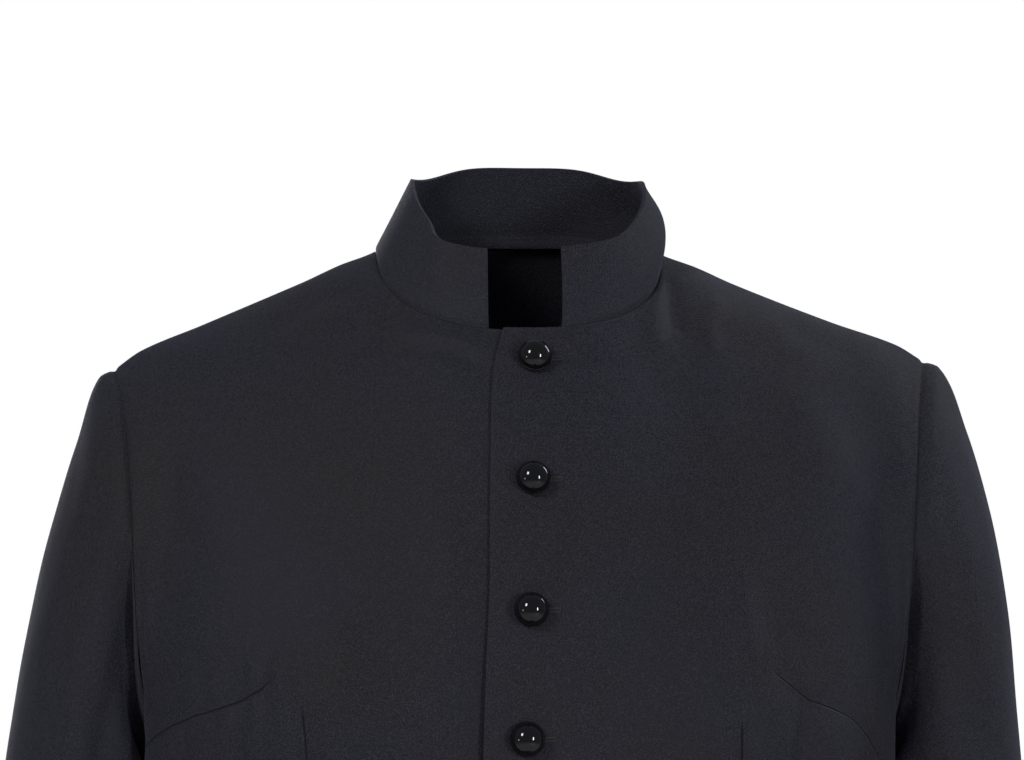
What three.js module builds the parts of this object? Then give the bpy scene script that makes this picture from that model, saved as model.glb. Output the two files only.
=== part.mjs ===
// A clergy robe in its worn form: long, with a notched stand collar, a buttoned front, darts and set-in
// sleeves.
// Units are millimetres. X points to the wearer's left, Y to the back and Z up.
// The origin is the middle of the neck base, level with the points where collar and shoulder seams meet.

import * as THREE from "three";

// Driving sizes of the cloth and its seams
const clothWall = 2;
const collarWall = 2.6;
const seamGap = 0.34; // free space between two pieces at a seam

// Driving sizes of the neck, shoulders and armholes
const neck = { halfWidth: 81, frontY: -74, frontZ: -51.5, sideY: 4, backY: 58, fullness: 2.25 };
const lowestCrossing = 0.3; // the neckline crosses no column below this share of its curve
const collar = {
  frontRise: 45.3, sideRise: 42, backRise: 42, halfWidth: 66, frontY: -63, backY: 48,
  halfNotch: 20.5, // the free space between the ends and the centre
  lean: 6, // how far the top leans to the wearer's left at the sides
  uprightFrom: 0.55, // how near the front end, by the neckline's cosine, the collar starts to stand upright
  uprightOver: 0.4, // and over how much of it that comes in
  swell: 6, // how far the wearer's left side swells out between seam and top
};
const armpitZ = -290;

// Driving sizes of the front closure: how far each front reaches past the centre, and how the left one lies
// on the right one, a wall and a gap further out near the centre and level with it further away
const lap = { underEdge: 24, gap: 0.6, levelFrom: 30, levelTo: 75, lift: 2.2, liftFrom: -200, liftOver: 90 };
const lapEdge = [
  { z: -50, past: 12 },
  { z: -78, past: 18.5 },
  { z: -130, past: 21 },
  { z: -200, past: 22.5 },
  { z: -240, past: 24.5 },
  { z: -290, past: 26 },
  { z: -400, past: 27 },
  { z: -1400, past: 27 },
];
const button = {
  count: 17, pitch: 70.5,
  radius: 9.5, height: 11.5, shankRadius: 2.6, shank: 1.7, rim: 1.9, flare: 0.7, foot: 8.5, segments: 12,
};
// The first buttons stand a little unevenly and the others evenly below them
const buttonPlaces = [
  { x: 4.2, z: -68.4 },
  { x: 1.9, z: -136.8 },
  { x: 0, z: -208.6 },
  { x: -2.8, z: -278.1 },
];

// Fullness of the chest above the waist darts
const bust = { x: 128, z: -262, depth: 7, spreadX: 46, spreadZ: 55 };

// The shoulders do not hang quite level: how far their tips move to the wearer's left, and the left one up
const lean = { across: 2.6, up: 3.7, from: -280, to: -100, halfWidth: 232 };

// Where an arm presses the side of the body in
const armDent = { y: 14, spread: 42 };
const ringFullness = 2.2;
const rowLevel = { from: 0.7, raise: 0.27 }; // keeps the rows level where the columns follow the armhole
const spreadOver = 300; // the height below the armpit over which the columns spread evenly round the body

// Body sections from the armpit to the hem: half width, depths before and behind the side seam, side seam
// place, dent
const bodySections = [
  { z: -290, wide: 225, front: 136, back: 104, side: 8, dent: 33 },
  { z: -300, wide: 224, front: 136, back: 104, side: 8, dent: 40 },
  { z: -340, wide: 217, front: 134, back: 103, side: 8, dent: 34 },
  { z: -430, wide: 197, front: 124, back: 98, side: 6, dent: 10 },
  { z: -520, wide: 196, front: 126, back: 104, side: 5, dent: 0 },
  { z: -640, wide: 211, front: 136, back: 121, side: 4, dent: 0 },
  { z: -850, wide: 236, front: 157, back: 148, side: 2, dent: 0 },
  { z: -1100, wide: 268, front: 189, back: 184, side: 0, dent: 0 },
  { z: -1400, wide: 304, front: 224, back: 224, side: 0, dent: 0 },
];

// Soft folds of the skirt: angle from the centre front (positive to the wearer's left), where the fold
// starts, how far it stands out at the hem and how wide it is there in degrees
const skirtFolds = [
  { angle: 20, top: -640, out: 15, width: 7 },
  { angle: 43, top: -540, out: 22, width: 8.5 },
  { angle: 66, top: -700, out: 17, width: 7.5 },
  { angle: 91, top: -600, out: 21, width: 9 },
  { angle: 116, top: -680, out: 20, width: 8.5 },
  { angle: 140, top: -560, out: 24, width: 9 },
  { angle: 165, top: -720, out: 18, width: 8 },
  { angle: -18, top: -700, out: 13, width: 6.5 },
  { angle: -39, top: -580, out: 20, width: 8 },
  { angle: -63, top: -660, out: 19, width: 8.5 },
  { angle: -88, top: -560, out: 23, width: 8.5 },
  { angle: -112, top: -720, out: 17, width: 8 },
  { angle: -137, top: -620, out: 22, width: 9.5 },
  { angle: -164, top: -600, out: 21, width: 8.5 },
];

// Columns of a front or back panel: share of the way from the centre to the armhole, ring angle at the
// armpit level
const neckShare = 0.34; // where the neckline ends and the shoulder seam starts
const columnAngles = [
  { share: -0.17, angle: -11 },
  { share: 0, angle: 0 },
  { share: 0.17, angle: 11 },
  { share: 0.34, angle: 22 },
  { share: 0.5, angle: 34 },
  { share: 0.67, angle: 48 },
  { share: 0.85, angle: 68 },
  { share: 1, angle: 90 },
];

// The ridge over the shoulders where front and back meet: the shoulder seam, carried on across the neck
// opening
const ridge = [
  { share: -0.17, x: -41.2, y: 4, z: 22 },
  { share: 0, x: 0, y: 5, z: 30 },
  { share: 0.17, x: 41.2, y: 4, z: 22 },
  { share: 0.34, x: 81, y: 4, z: 0 },
  { share: 0.43, x: 102, y: 4.5, z: -7.6 },
  { share: 0.525, x: 124, y: 5, z: -17.6 },
  { share: 0.77, x: 180, y: 7, z: -40.2 },
  { share: 0.93, x: 216, y: 8, z: -53.7 },
  { share: 1, x: 232, y: 8, z: -64.2 },
];

// How the cloth leaves the armpit level (rise) and reaches the ridge (reach), along each column
const frontColumns = [
  { share: -0.34, riseX: 0, riseY: -2, riseZ: 100, reachX: 0, reachY: 78, reachZ: 20 },
  { share: 0, riseX: 0, riseY: -2, riseZ: 95, reachX: 0, reachY: 95, reachZ: 31 },
  { share: 0.34, riseX: 0, riseY: -2, riseZ: 100, reachX: 0, reachY: 78, reachZ: 20 },
  { share: 0.67, riseX: 2, riseY: -6, riseZ: 90, reachX: 0, reachY: 76, reachZ: 20 },
  { share: 0.85, riseX: -7, riseY: -23, riseZ: 75, reachX: 4, reachY: 71, reachZ: 20 },
  { share: 1, riseX: 29, riseY: -83, riseZ: 0, reachX: 18, reachY: 83, reachZ: 39 },
];
const backColumns = [
  { share: -0.17, riseX: 0, riseY: 10, riseZ: 135, reachX: 0, reachY: -88, reachZ: -30 },
  { share: 0, riseX: 0, riseY: 10, riseZ: 140, reachX: 0, reachY: -90, reachZ: -24 },
  { share: 0.17, riseX: 0, riseY: 10, riseZ: 135, reachX: 0, reachY: -88, reachZ: -30 },
  { share: 0.34, riseX: 0, riseY: 8, riseZ: 125, reachX: 0, reachY: -76, reachZ: -16 },
  { share: 0.5, riseX: 0, riseY: 8, riseZ: 110, reachX: 0, reachY: -72, reachZ: 6 },
  { share: 0.67, riseX: 2, riseY: 8, riseZ: 95, reachX: 0, reachY: -70, reachZ: 14 },
  { share: 0.85, riseX: 4, riseY: 21, riseZ: 75, reachX: 4, reachY: -66, reachZ: 18 },
  { share: 1, riseX: 31, riseY: 80, riseZ: 4, reachX: 17, reachY: -82, reachZ: 35 },
];

// Sleeve sections down the arm: centre, half width and half depth
const sleeveSections = [
  { along: 0, x: 243.5, y: 16, z: -296, wide: 45, deep: 66 },
  { along: 0.17, x: 251, y: 17, z: -362, wide: 47, deep: 63 },
  { along: 0.36, x: 259, y: 14, z: -434, wide: 48, deep: 60 },
  { along: 0.55, x: 269, y: 6, z: -506, wide: 47, deep: 57 },
  { along: 0.77, x: 281, y: -9, z: -590, wide: 46, deep: 53 },
  { along: 1, x: 293, y: -27, z: -678, wide: 45, deep: 50 },
];
// How a sleeve leaves the armhole, and how strongly: at the head over the shoulder, and under the arm. The
// head of the left sleeve stands out further, as that arm hangs a little away.
const sleeveStart = new THREE.Vector3(0.75, 0, -0.66);
const sleevePull = { startUnder: 7, endUnder: 6, spacing: 1.12 };
const sleeveHeads = {
  left: { startTop: 38, endTop: 135, out: 9 },
  right: { startTop: 22, endTop: 100, out: 0 },
};
// Long soft troughs down a sleeve: angle from the outer side (positive to the front), depth and width in
// degrees
const sleeveFolds = [
  { angle: 62, from: 0.05, to: 0.75, depth: 3.5, width: 20 },
  { angle: 118, from: 0.25, to: 1, depth: 3, width: 17 },
  { angle: -70, from: 0.1, to: 0.85, depth: 3.5, width: 22 },
  { angle: -128, from: 0.35, to: 0.95, depth: 3, width: 18 },
];
const sleeveFoldEnd = 0.15; // the share of the sleeve over which a trough fades out

// How finely the pieces are divided
const rows = { upper: 10, sleeveHead: 6, sleeveArm: 11, collar: 4 };
const columns = { lap: 2, notch: 2, neckline: 5, shoulder: 10 };
const lowerHeights = [
  -297, -310, -330, -360, -400, -445, -495, -550, -610, -675,
  -745, -820, -900, -985, -1070, -1155, -1240, -1320, -1400,
];

const degrees = Math.PI / 180;
const mix = (a, b, t) => a + (b - a) * t;
const clamp01 = (t) => Math.min(1, Math.max(0, t));
const ease = (t) => clamp01(t) ** 2 * (3 - 2 * clamp01(t));
const bump = (offset, spread) => Math.exp(-((offset / spread) ** 2));
const vector = (x, y, z) => new THREE.Vector3(x, y, z);

// A smooth curve through one column of a table whose rows are ordered by key
function readTable(table, key, name, at) {
  const sign = Math.sign(table[table.length - 1][key] - table[0][key]);
  const last = table.length - 1;
  let i = 0;
  while (i < last - 1 && sign * (at - table[i + 1][key]) > 0) i += 1;
  const slope = (a, b) => (table[b][name] - table[a][name]) / (table[b][key] - table[a][key]);
  const span = table[i + 1][key] - table[i][key];
  const t = clamp01((at - table[i][key]) / span);
  const leaving = slope(Math.max(i - 1, 0), i + 1) * span;
  const arriving = slope(i, Math.min(i + 2, last)) * span;
  const t2 = t * t;
  const t3 = t2 * t;
  return (
    (2 * t3 - 3 * t2 + 1) * table[i][name] +
    (t3 - 2 * t2 + t) * leaving +
    (3 * t2 - 2 * t3) * table[i + 1][name] +
    (t3 - t2) * arriving
  );
}

// Chest fullness, which pushes only the front forward
function withBust(point) {
  if (point.y > 0) return point;
  const across = bump(Math.abs(point.x) - bust.x, bust.spreadX);
  const upright = bump(point.z - bust.z, bust.spreadZ);
  return point.setY(point.y - bust.depth * across * upright);
}

// The tilt of the shoulders
function withLean(point) {
  const height = ease((point.z - lean.from) / (lean.to - lean.from));
  const amount = height * Math.abs(point.x / lean.halfWidth) ** 3;
  point.x += lean.across * amount;
  point.z += lean.up * amount * Math.sign(point.x);
  return point;
}

// How far the skirt's folds stand out at an angle and a height
function skirtFoldOut(angle, z) {
  const hem = bodySections[bodySections.length - 1].z;
  return skirtFolds.reduce((out, fold) => {
    const grown = ease((fold.top - z) / (fold.top - hem));
    const away = Math.abs(((angle - fold.angle + 540) % 360) - 180);
    return out + fold.out * grown * bump(away, fold.width);
  }, 0);
}

// A point of the body's rings, by its angle from the centre front
function ringPoint(angle, z) {
  const at = (name) => readTable(bodySections, "z", name, z);
  const power = 2 / ringFullness;
  const side = Math.sign(angle) || 1;
  const sine = Math.abs(Math.sin(angle * degrees)) ** power;
  const cosine = Math.abs(Math.cos(angle * degrees)) ** power;
  const isFront = Math.abs(angle) < 90;
  const y = at("side") + (isFront ? -at("front") : at("back")) * cosine;
  const pressed = at("dent") * bump(y - armDent.y, armDent.spread) * sine;
  const x = at("wide") * sine - pressed;
  const stretch = 1 + skirtFoldOut(angle, z) / Math.hypot(x, y);
  return vector(side * x * stretch, y * stretch, z);
}

// One column of the yoke, from the armpit level to the ridge, by its share of the way to the armhole
function yokeColumn(share, isFront) {
  const at = (table, name) => readTable(table, "share", name, share);
  const table = isFront ? frontColumns : backColumns;
  const turn = at(columnAngles, "angle");
  const start = ringPoint(isFront ? turn : 180 - turn, armpitZ);
  const rise = start.clone().add(vector(at(table, "riseX"), at(table, "riseY"), at(table, "riseZ")));
  const end = vector(at(ridge, "x"), at(ridge, "y"), at(ridge, "z"));
  const reach = end.clone().sub(vector(at(table, "reachX"), at(table, "reachY"), at(table, "reachZ")));
  return new THREE.CubicBezierCurve3(start, rise, reach, end);
}

// How far up a column the neckline crosses it. The share grows from the centre to the neck point like the
// sine of the neckline's turn, the front neckline falls with the cosine and the back one runs out with it.
function neckCrossing(column, share, isFront) {
  if (share >= neckShare) return 1;
  const cosine = (1 - (share / neckShare) ** neck.fullness) ** (1 / neck.fullness);
  const isPast = (point) =>
    isFront ? point.z > neck.frontZ * cosine : point.y < mix(neck.sideY, neck.backY, cosine);
  let low = lowestCrossing;
  let high = 1;
  for (let i = 0; i < 30; i += 1) {
    const middle = (low + high) / 2;
    if (isPast(column.getPoint(middle))) high = middle;
    else low = middle;
  }
  return low;
}

// A point of the panel above the armpit level. The share runs from the centre out to the armhole and is
// negative on the wearer's right, and up runs from the armpit level to the neckline and shoulder.
function yokePoint(share, up, isFront) {
  const column = yokeColumn(Math.abs(share), isFront);
  const cut = 1 - neckCrossing(column, Math.abs(share), isFront);
  const nearArmhole = ease((Math.abs(share) - rowLevel.from) / (1 - rowLevel.from));
  const raised = rowLevel.raise * nearArmhole * up * (1 - up);
  const point = withBust(column.getPoint(up - cut * up * up + raised));
  return withLean(share < 0 ? point.setX(-point.x) : point);
}

// A height of a panel: up the yoke, or down the body where the columns spread evenly round the ring
function panelPoint(share, height, isFront) {
  if (height.up !== undefined) return yokePoint(share, height.up, isFront);
  const size = Math.abs(share);
  const spread = ease((armpitZ - height.z) / spreadOver);
  const turn = mix(readTable(columnAngles, "share", "angle", size), 90 * size, spread);
  return withBust(ringPoint((share < 0 ? -1 : 1) * (isFront ? turn : 180 - turn), height.z));
}

const yokeHeights = Array.from({ length: rows.upper + 1 }, (_, i) => ({ up: 1 - i / rows.upper }));
const panelHeights = [...yokeHeights, ...lowerHeights.map((z) => ({ z }))];

// Shares from one up to the neck point: spaced evenly by the neckline's turn at the top, and evenly lower
// down
function necklineShares(from, count, height) {
  const turnOf = (share) => Math.asin((share / neckShare) ** (neck.fullness / 2));
  const shareOf = (turn) => neckShare * Math.sin(turn) ** (2 / neck.fullness);
  const nearTop = (height.up ?? 0) ** 2;
  return Array.from({ length: count }, (_, i) =>
    mix(mix(from, neckShare, i / count), shareOf(mix(turnOf(from), Math.PI / 2, i / count)), nearTop),
  );
}

// The share at which the front reaches a given distance from the centre front
function shareAt(distance, height) {
  const side = Math.sign(distance);
  let low = 0;
  let high = neckShare;
  for (let i = 0; i < 30; i += 1) {
    const middle = (low + high) / 2;
    if (side * panelPoint(side * middle, height, true).x < side * distance) low = middle;
    else high = middle;
  }
  return side * low;
}

// A front panel as rows of points, from the neckline down, for the wearer's left (side 1) or right (side
// -1). The left front lies on the right one: it is moved out by a wall and a gap near the centre, and its
// edge lifts.
function frontPanel(side) {
  const isOver = side > 0;
  return panelHeights.map((height) => {
    const centreZ = panelPoint(0, height, true).z;
    const past = isOver ? readTable(lapEdge, "z", "past", centreZ) : lap.underEdge;
    const edge = shareAt(-side * past, height);
    const notch = shareAt(side * collar.halfNotch, height);
    const steps = Array.from({ length: columns.shoulder + 1 }, (_, i) => i / columns.shoulder);
    const shares = [
      ...Array.from({ length: columns.lap }, (_, i) => edge * (1 - i / columns.lap)),
      ...Array.from({ length: columns.notch }, (_, i) => (notch * i) / columns.notch),
      ...necklineShares(Math.abs(notch), columns.neckline, height).map((share) => side * share),
      ...steps.map((step) => side * mix(neckShare, 1, step)),
    ];
    return shares.map((share) => {
      const point = panelPoint(share, height, true);
      if (!isOver) return point;
      const layer = 1 - ease((point.x - lap.levelFrom) / (lap.levelTo - lap.levelFrom));
      const lifted = lap.lift * ease(-point.x / past) * ease((lap.liftFrom - point.z) / lap.liftOver);
      const outward = outwardAt(share, height);
      return point.addScaledVector(outward, layer * (clothWall + lap.gap) + lifted);
    });
  });
}

// The outward direction of the front near the centre, from the slope of the cloth
function outwardAt(share, height) {
  const step = 0.01;
  const here = panelPoint(share, height, true);
  const next = panelPoint(share + step, height, true);
  const lower = height.up === undefined ? { z: height.z - 2 } : { up: Math.max(height.up - step, 0) };
  const higher = height.up === undefined ? { z: height.z } : { up: Math.min(lower.up + step, 1) };
  const across = next.sub(here);
  const upward = panelPoint(share, higher, true).sub(panelPoint(share, lower, true));
  return across.cross(upward).normalize();
}

// The back panel runs from the wearer's left side seam round to the right one
function backPanel() {
  return panelHeights.map((height) => {
    const shares = [
      ...necklineShares(0, columns.neckline + 2, height),
      ...Array.from({ length: columns.shoulder + 1 }, (_, i) => mix(neckShare, 1, i / columns.shoulder)),
    ];
    const all = [...[...shares].reverse(), ...shares.slice(1).map((share) => -share)];
    return all.map((share) => panelPoint(share, height, false));
  });
}

// The armhole as a loop of points, from the shoulder tip down the front, under the arm and up the back
function armholeLoop(side, front, back) {
  const frontEdge = front.slice(0, rows.upper + 1).map((row) => row[row.length - 1]);
  const backEdge = back.slice(0, rows.upper + 1).map((row) => (side > 0 ? row[0] : row[row.length - 1]));
  return [...frontEdge, ...backEdge.slice(1, -1).reverse()];
}

// A sleeve as rings of points from the armhole to the wrist, one column for each point of the armhole
function sleevePanel(side, loop) {
  const at = (along) => (name) => readTable(sleeveSections, "along", name, along);
  const centre = (along) => vector(...["x", "y", "z"].map(at(along)));
  const directionAt = (along) => {
    const step = 0.02;
    return centre(Math.min(along + step, 1)).sub(centre(Math.max(along - step, 0))).normalize();
  };
  const ringPoint = (along, angle) => {
    const down = directionAt(along);
    const outward = vector(1, 0, 0).addScaledVector(down, -down.x).normalize();
    const forward = down.clone().cross(outward).normalize();
    const depth = sleeveFolds.reduce((sum, fold) => {
      const reach = ease((along - fold.from) / sleeveFoldEnd) * ease((fold.to - along) / sleeveFoldEnd);
      const away = Math.abs(((angle - fold.angle + 540) % 360) - 180);
      return sum + fold.depth * reach * bump(away, fold.width);
    }, 0);
    return centre(along)
      .addScaledVector(outward, (at(along)("wide") - depth) * Math.cos(angle * degrees))
      .addScaledVector(forward, (at(along)("deep") - depth) * Math.sin(angle * degrees));
  };
  const angles = loop.map((_, k) => (180 * k) / rows.upper);
  const head = angles.map((angle, k) => {
    const start = vector(side * loop[k].x, loop[k].y, loop[k].z);
    const end = ringPoint(0, angle);
    const top = (1 + Math.cos(angle * degrees)) / 2;
    const down = directionAt(0);
    const pull = sleeveHeads[side > 0 ? "left" : "right"];
    const leave = start.clone().addScaledVector(sleeveStart, mix(sleevePull.startUnder, pull.startTop, top));
    const arrive = end.clone().addScaledVector(down, -mix(sleevePull.endUnder, pull.endTop, top));
    arrive.x += pull.out * top;
    return new THREE.CubicBezierCurve3(start, leave, arrive, end);
  });
  const headRings = Array.from({ length: rows.sleeveHead }, (_, i) =>
    head.map((curve) => curve.getPoint((i / rows.sleeveHead) ** sleevePull.spacing)),
  );
  const armRings = Array.from({ length: rows.sleeveArm + 1 }, (_, i) =>
    angles.map((angle) => ringPoint(i / rows.sleeveArm, angle)),
  );
  return [...headRings, ...armRings].map((ring) => ring.map((p) => p.setX(side * p.x)));
}

// The collar as rows of points from its seam up, from the wearer's left end round the back to the right end
function collarPanel(left, right, back) {
  const firstFree = columns.lap + columns.notch;
  const neckEnd = firstFree + columns.neckline;
  const leftEdge = left[0].slice(firstFree, neckEnd);
  const rightEdge = right[0].slice(firstFree, neckEnd);
  const backEdge = back[0].slice(columns.shoulder, -columns.shoulder);
  const seam = [...leftEdge, ...backEdge, ...rightEdge.reverse()];
  const topOf = (low) => {
    const isFront = low.y < neck.sideY;
    const wide = clamp01(Math.abs(low.x) / neck.halfWidth);
    const cosine = clamp01(1 - wide ** neck.fullness) ** (1 / neck.fullness);
    const rise = mix(collar.sideRise, isFront ? collar.frontRise : collar.backRise, cosine);
    const nearEnd = isFront ? ease((cosine - collar.uprightFrom) / collar.uprightOver) : 0;
    const x = mix(low.x * (collar.halfWidth / neck.halfWidth) + collar.lean, low.x, nearEnd);
    const inward = isFront ? collar.frontY - neck.frontY : collar.backY - neck.backY;
    return vector(x, low.y + inward * cosine, low.z + rise);
  };
  return Array.from({ length: rows.collar + 1 }, (_, i) => {
    const up = i / rows.collar;
    return seam.map((low) => {
      const point = low.clone().lerp(topOf(low), up);
      const toLeft = Math.max(low.x / neck.halfWidth, 0);
      const bow = 4 * up * (1 - up);
      return point.setX(point.x + (bow * toLeft) ** 2 * collar.swell);
    });
  });
}

// Normals of a grid of points, with the outer side on the left when walking along a row with the rows going
// down
function gridNormals(grid, isTube) {
  const height = grid.length;
  const width = grid[0].length;
  const column = (j) => (isTube ? (j + width) % width : Math.min(Math.max(j, 0), width - 1));
  return grid.map((row, i) =>
    row.map((_, j) => {
      const along = row[column(j + 1)].clone().sub(row[column(j - 1)]);
      const down = grid[Math.min(i + 1, height - 1)][j].clone().sub(grid[Math.max(i - 1, 0)][j]);
      return down.cross(along).normalize();
    }),
  );
}

// Pieces that meet at a seam point take one common direction for their thickness there, so their edges are
// mitred
function shareNormals(pieces) {
  const keyOf = (p) => [p.x, p.y, p.z].map((v) => Math.round(v * 100)).join(" ");
  const sums = new Map();
  const each = (action) =>
    pieces.forEach((piece) => piece.grid.forEach((row, i) => row.forEach((p, j) => action(piece, p, i, j))));
  each((piece, p, i, j) => {
    const key = keyOf(p);
    if (!sums.has(key)) sums.set(key, vector(0, 0, 0));
    sums.get(key).add(piece.normals[i][j]);
  });
  each((piece, p, i, j) => {
    piece.normals[i][j] = sums.get(keyOf(p)).clone().normalize();
  });
}

// The grid with its edges drawn in by half a seam gap, square to the edge and in the cloth
function drawnIn(piece) {
  const { grid, normals, isTube } = piece;
  const height = grid.length;
  const width = grid[0].length;
  const inset = (i, j, before, after, inner) => {
    const edge = after.clone().sub(before);
    const inward = normals[i][j].clone().cross(edge).normalize();
    const towards = inner.clone().sub(grid[i][j]);
    return inward.multiplyScalar((Math.sign(inward.dot(towards)) * seamGap) / 2);
  };
  return grid.map((row, i) =>
    row.map((p, j) => {
      const moved = p.clone();
      const left = isTube ? (j + width - 1) % width : Math.max(j - 1, 0);
      const right = isTube ? (j + 1) % width : Math.min(j + 1, width - 1);
      if (i === 0) moved.add(inset(i, j, row[left], row[right], grid[1][j]));
      if (i === height - 1) moved.add(inset(i, j, row[left], row[right], grid[height - 2][j]));
      if (isTube || (j > 0 && j < width - 1)) return moved;
      const above = grid[Math.max(i - 1, 0)][j];
      const below = grid[Math.min(i + 1, height - 1)][j];
      return moved.add(inset(i, j, above, below, row[j === 0 ? 1 : width - 2]));
    }),
  );
}

// A closed wall of cloth on a grid of points: an outer skin, an inner skin and the edges between them
function clothGeometry(piece, thickness) {
  const { normals, isTube } = piece;
  const grid = drawnIn(piece);
  const height = grid.length;
  const width = grid[0].length;
  const positions = [];
  [0.5, -0.5].forEach((half) =>
    grid.forEach((row, i) =>
      row.forEach((p, j) => positions.push(...p.clone().addScaledVector(normals[i][j], half * thickness))),
    ),
  );
  const index = [];
  const corner = (k) => vector(...positions.slice(3 * k, 3 * k + 3));
  const quad = (a, b, c, d) => {
    const isShort = corner(a).distanceTo(corner(c)) <= corner(b).distanceTo(corner(d));
    index.push(...(isShort ? [a, b, c, a, c, d] : [a, b, d, b, c, d]));
  };
  const outer = (i, j) => i * width + (j % width);
  const inner = (i, j) => height * width + outer(i, j);
  const across = isTube ? width : width - 1;
  for (let i = 0; i < height - 1; i += 1) {
    for (let j = 0; j < across; j += 1) {
      quad(outer(i, j), outer(i + 1, j), outer(i + 1, j + 1), outer(i, j + 1));
      quad(inner(i, j), inner(i, j + 1), inner(i + 1, j + 1), inner(i + 1, j));
    }
    if (!isTube) {
      quad(outer(i, 0), inner(i, 0), inner(i + 1, 0), outer(i + 1, 0));
      const j = width - 1;
      quad(outer(i, j), outer(i + 1, j), inner(i + 1, j), inner(i, j));
    }
  }
  for (let j = 0; j < across; j += 1) {
    quad(outer(0, j), outer(0, j + 1), inner(0, j + 1), inner(0, j));
    const i = height - 1;
    quad(outer(i, j), inner(i, j), inner(i, j + 1), outer(i, j + 1));
  }
  return new THREE.BufferGeometry()
    .setAttribute("position", new THREE.Float32BufferAttribute(positions, 3))
    .setIndex(index);
}

// A domed button with a rim and a shank, turned round Z with the shank's foot at zero
function buttonGeometry() {
  const steps = 3;
  const domeBase = button.shank + button.rim;
  const profile = [
    [0, 0],
    [button.shankRadius, 0],
    [button.shankRadius, button.shank],
    [button.foot, button.shank],
    [button.radius, button.shank + button.flare],
    ...Array.from({ length: steps }, (_, i) => {
      const turn = (i * 90 * degrees) / steps;
      return [button.radius * Math.cos(turn), domeBase + (button.height - domeBase) * Math.sin(turn)];
    }),
    [0, button.height],
  ];
  const points = profile.map(([radius, z]) => new THREE.Vector2(radius, z));
  return new THREE.LatheGeometry(points, button.segments).rotateX(Math.PI / 2);
}

// The outer face of the left front at a place near the centre line
function frontSurface(front, x, z) {
  const inner = x < 0 ? columns.lap - 1 : columns.lap;
  const i = front.findIndex((row, k) => k > 0 && row[columns.lap].z <= z) - 1;
  const across = (row) => {
    const share = (x - row[inner].x) / (row[inner + 1].x - row[inner].x);
    return row[inner].clone().lerp(row[inner + 1], share);
  };
  const above = across(front[i]);
  const below = across(front[i + 1]);
  const sideways = front[i][inner + 1].clone().sub(front[i][inner]);
  const outward = sideways.cross(above.clone().sub(below)).normalize();
  const point = below.clone().lerp(above, (z - below.z) / (above.z - below.z));
  return { point: point.addScaledVector(outward, clothWall / 2), outward };
}

const robeCloth = new THREE.MeshStandardMaterial({ color: 0x26272d, roughness: 0.62, metalness: 0 });
const buttonPlastic = new THREE.MeshStandardMaterial({ color: 0x08080a, roughness: 0.08, metalness: 0 });

const frontLeft = frontPanel(1);
const frontRight = frontPanel(-1);
const back = backPanel();
const sleeveLeft = sleevePanel(1, armholeLoop(1, frontLeft, back));
const sleeveRight = sleevePanel(-1, armholeLoop(-1, frontRight, back));
const collarBand = collarPanel(frontLeft, frontRight, back);

// Rows that run the other way round the body are turned, so that every outer skin faces outwards
const turned = (grid) => grid.map((row) => [...row].reverse());
const pieces = [
  { name: "front_left", grid: turned(frontLeft) },
  { name: "front_right", grid: frontRight },
  { name: "back", grid: turned(back) },
  { name: "sleeve_left", grid: sleeveLeft, isTube: true },
  { name: "sleeve_right", grid: turned(sleeveRight), isTube: true },
  { name: "collar", grid: collarBand, thickness: collarWall },
];
pieces.forEach((piece) => {
  piece.normals = gridNormals(piece.grid, piece.isTube);
});
shareNormals(pieces);

const robe = new THREE.Group();
pieces.forEach((piece) => {
  const mesh = new THREE.Mesh(clothGeometry(piece, piece.thickness ?? clothWall), robeCloth);
  mesh.name = piece.name;
  robe.add(mesh);
});

// The buttons stand square on the left front, near the centre line
const buttonShape = buttonGeometry();
const lastPlace = buttonPlaces[buttonPlaces.length - 1];
for (let i = 0; i < button.count; i += 1) {
  const below = Math.max(i - buttonPlaces.length + 1, 0);
  const { x, z } = buttonPlaces[i] ?? { x: lastPlace.x, z: lastPlace.z - below * button.pitch };
  const place = frontSurface(frontLeft, x, z);
  const mesh = new THREE.Mesh(buttonShape, buttonPlastic);
  mesh.name = `button_${String(i + 1).padStart(2, "0")}`;
  mesh.position.copy(place.point).addScaledVector(place.outward, seamGap);
  mesh.quaternion.setFromUnitVectors(vector(0, 0, 1), place.outward);
  robe.add(mesh);
}

export default robe;
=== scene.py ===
import bmesh
import bpy
import numpy as np
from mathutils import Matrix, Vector
from mathutils.bvhtree import BVHTree


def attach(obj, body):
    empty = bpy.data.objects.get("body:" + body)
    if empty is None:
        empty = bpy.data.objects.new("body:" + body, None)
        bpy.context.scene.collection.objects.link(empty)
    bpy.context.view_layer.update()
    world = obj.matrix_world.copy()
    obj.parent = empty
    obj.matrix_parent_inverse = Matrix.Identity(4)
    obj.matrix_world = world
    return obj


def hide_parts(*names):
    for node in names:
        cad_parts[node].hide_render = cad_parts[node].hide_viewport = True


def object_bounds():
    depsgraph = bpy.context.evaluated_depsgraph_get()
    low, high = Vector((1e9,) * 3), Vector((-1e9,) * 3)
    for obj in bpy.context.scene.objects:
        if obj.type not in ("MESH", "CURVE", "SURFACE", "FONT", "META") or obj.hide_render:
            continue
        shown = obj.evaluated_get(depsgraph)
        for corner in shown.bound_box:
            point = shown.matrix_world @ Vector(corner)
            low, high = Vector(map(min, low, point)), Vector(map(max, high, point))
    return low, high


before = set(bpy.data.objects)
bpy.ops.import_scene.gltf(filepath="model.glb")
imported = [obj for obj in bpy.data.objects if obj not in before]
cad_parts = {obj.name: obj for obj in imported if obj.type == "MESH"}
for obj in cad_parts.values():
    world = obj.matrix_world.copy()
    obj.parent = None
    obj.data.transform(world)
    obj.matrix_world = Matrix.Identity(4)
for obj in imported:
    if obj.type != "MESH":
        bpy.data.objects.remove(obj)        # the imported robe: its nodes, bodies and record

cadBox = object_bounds()
scene = bpy.context.scene
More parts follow.
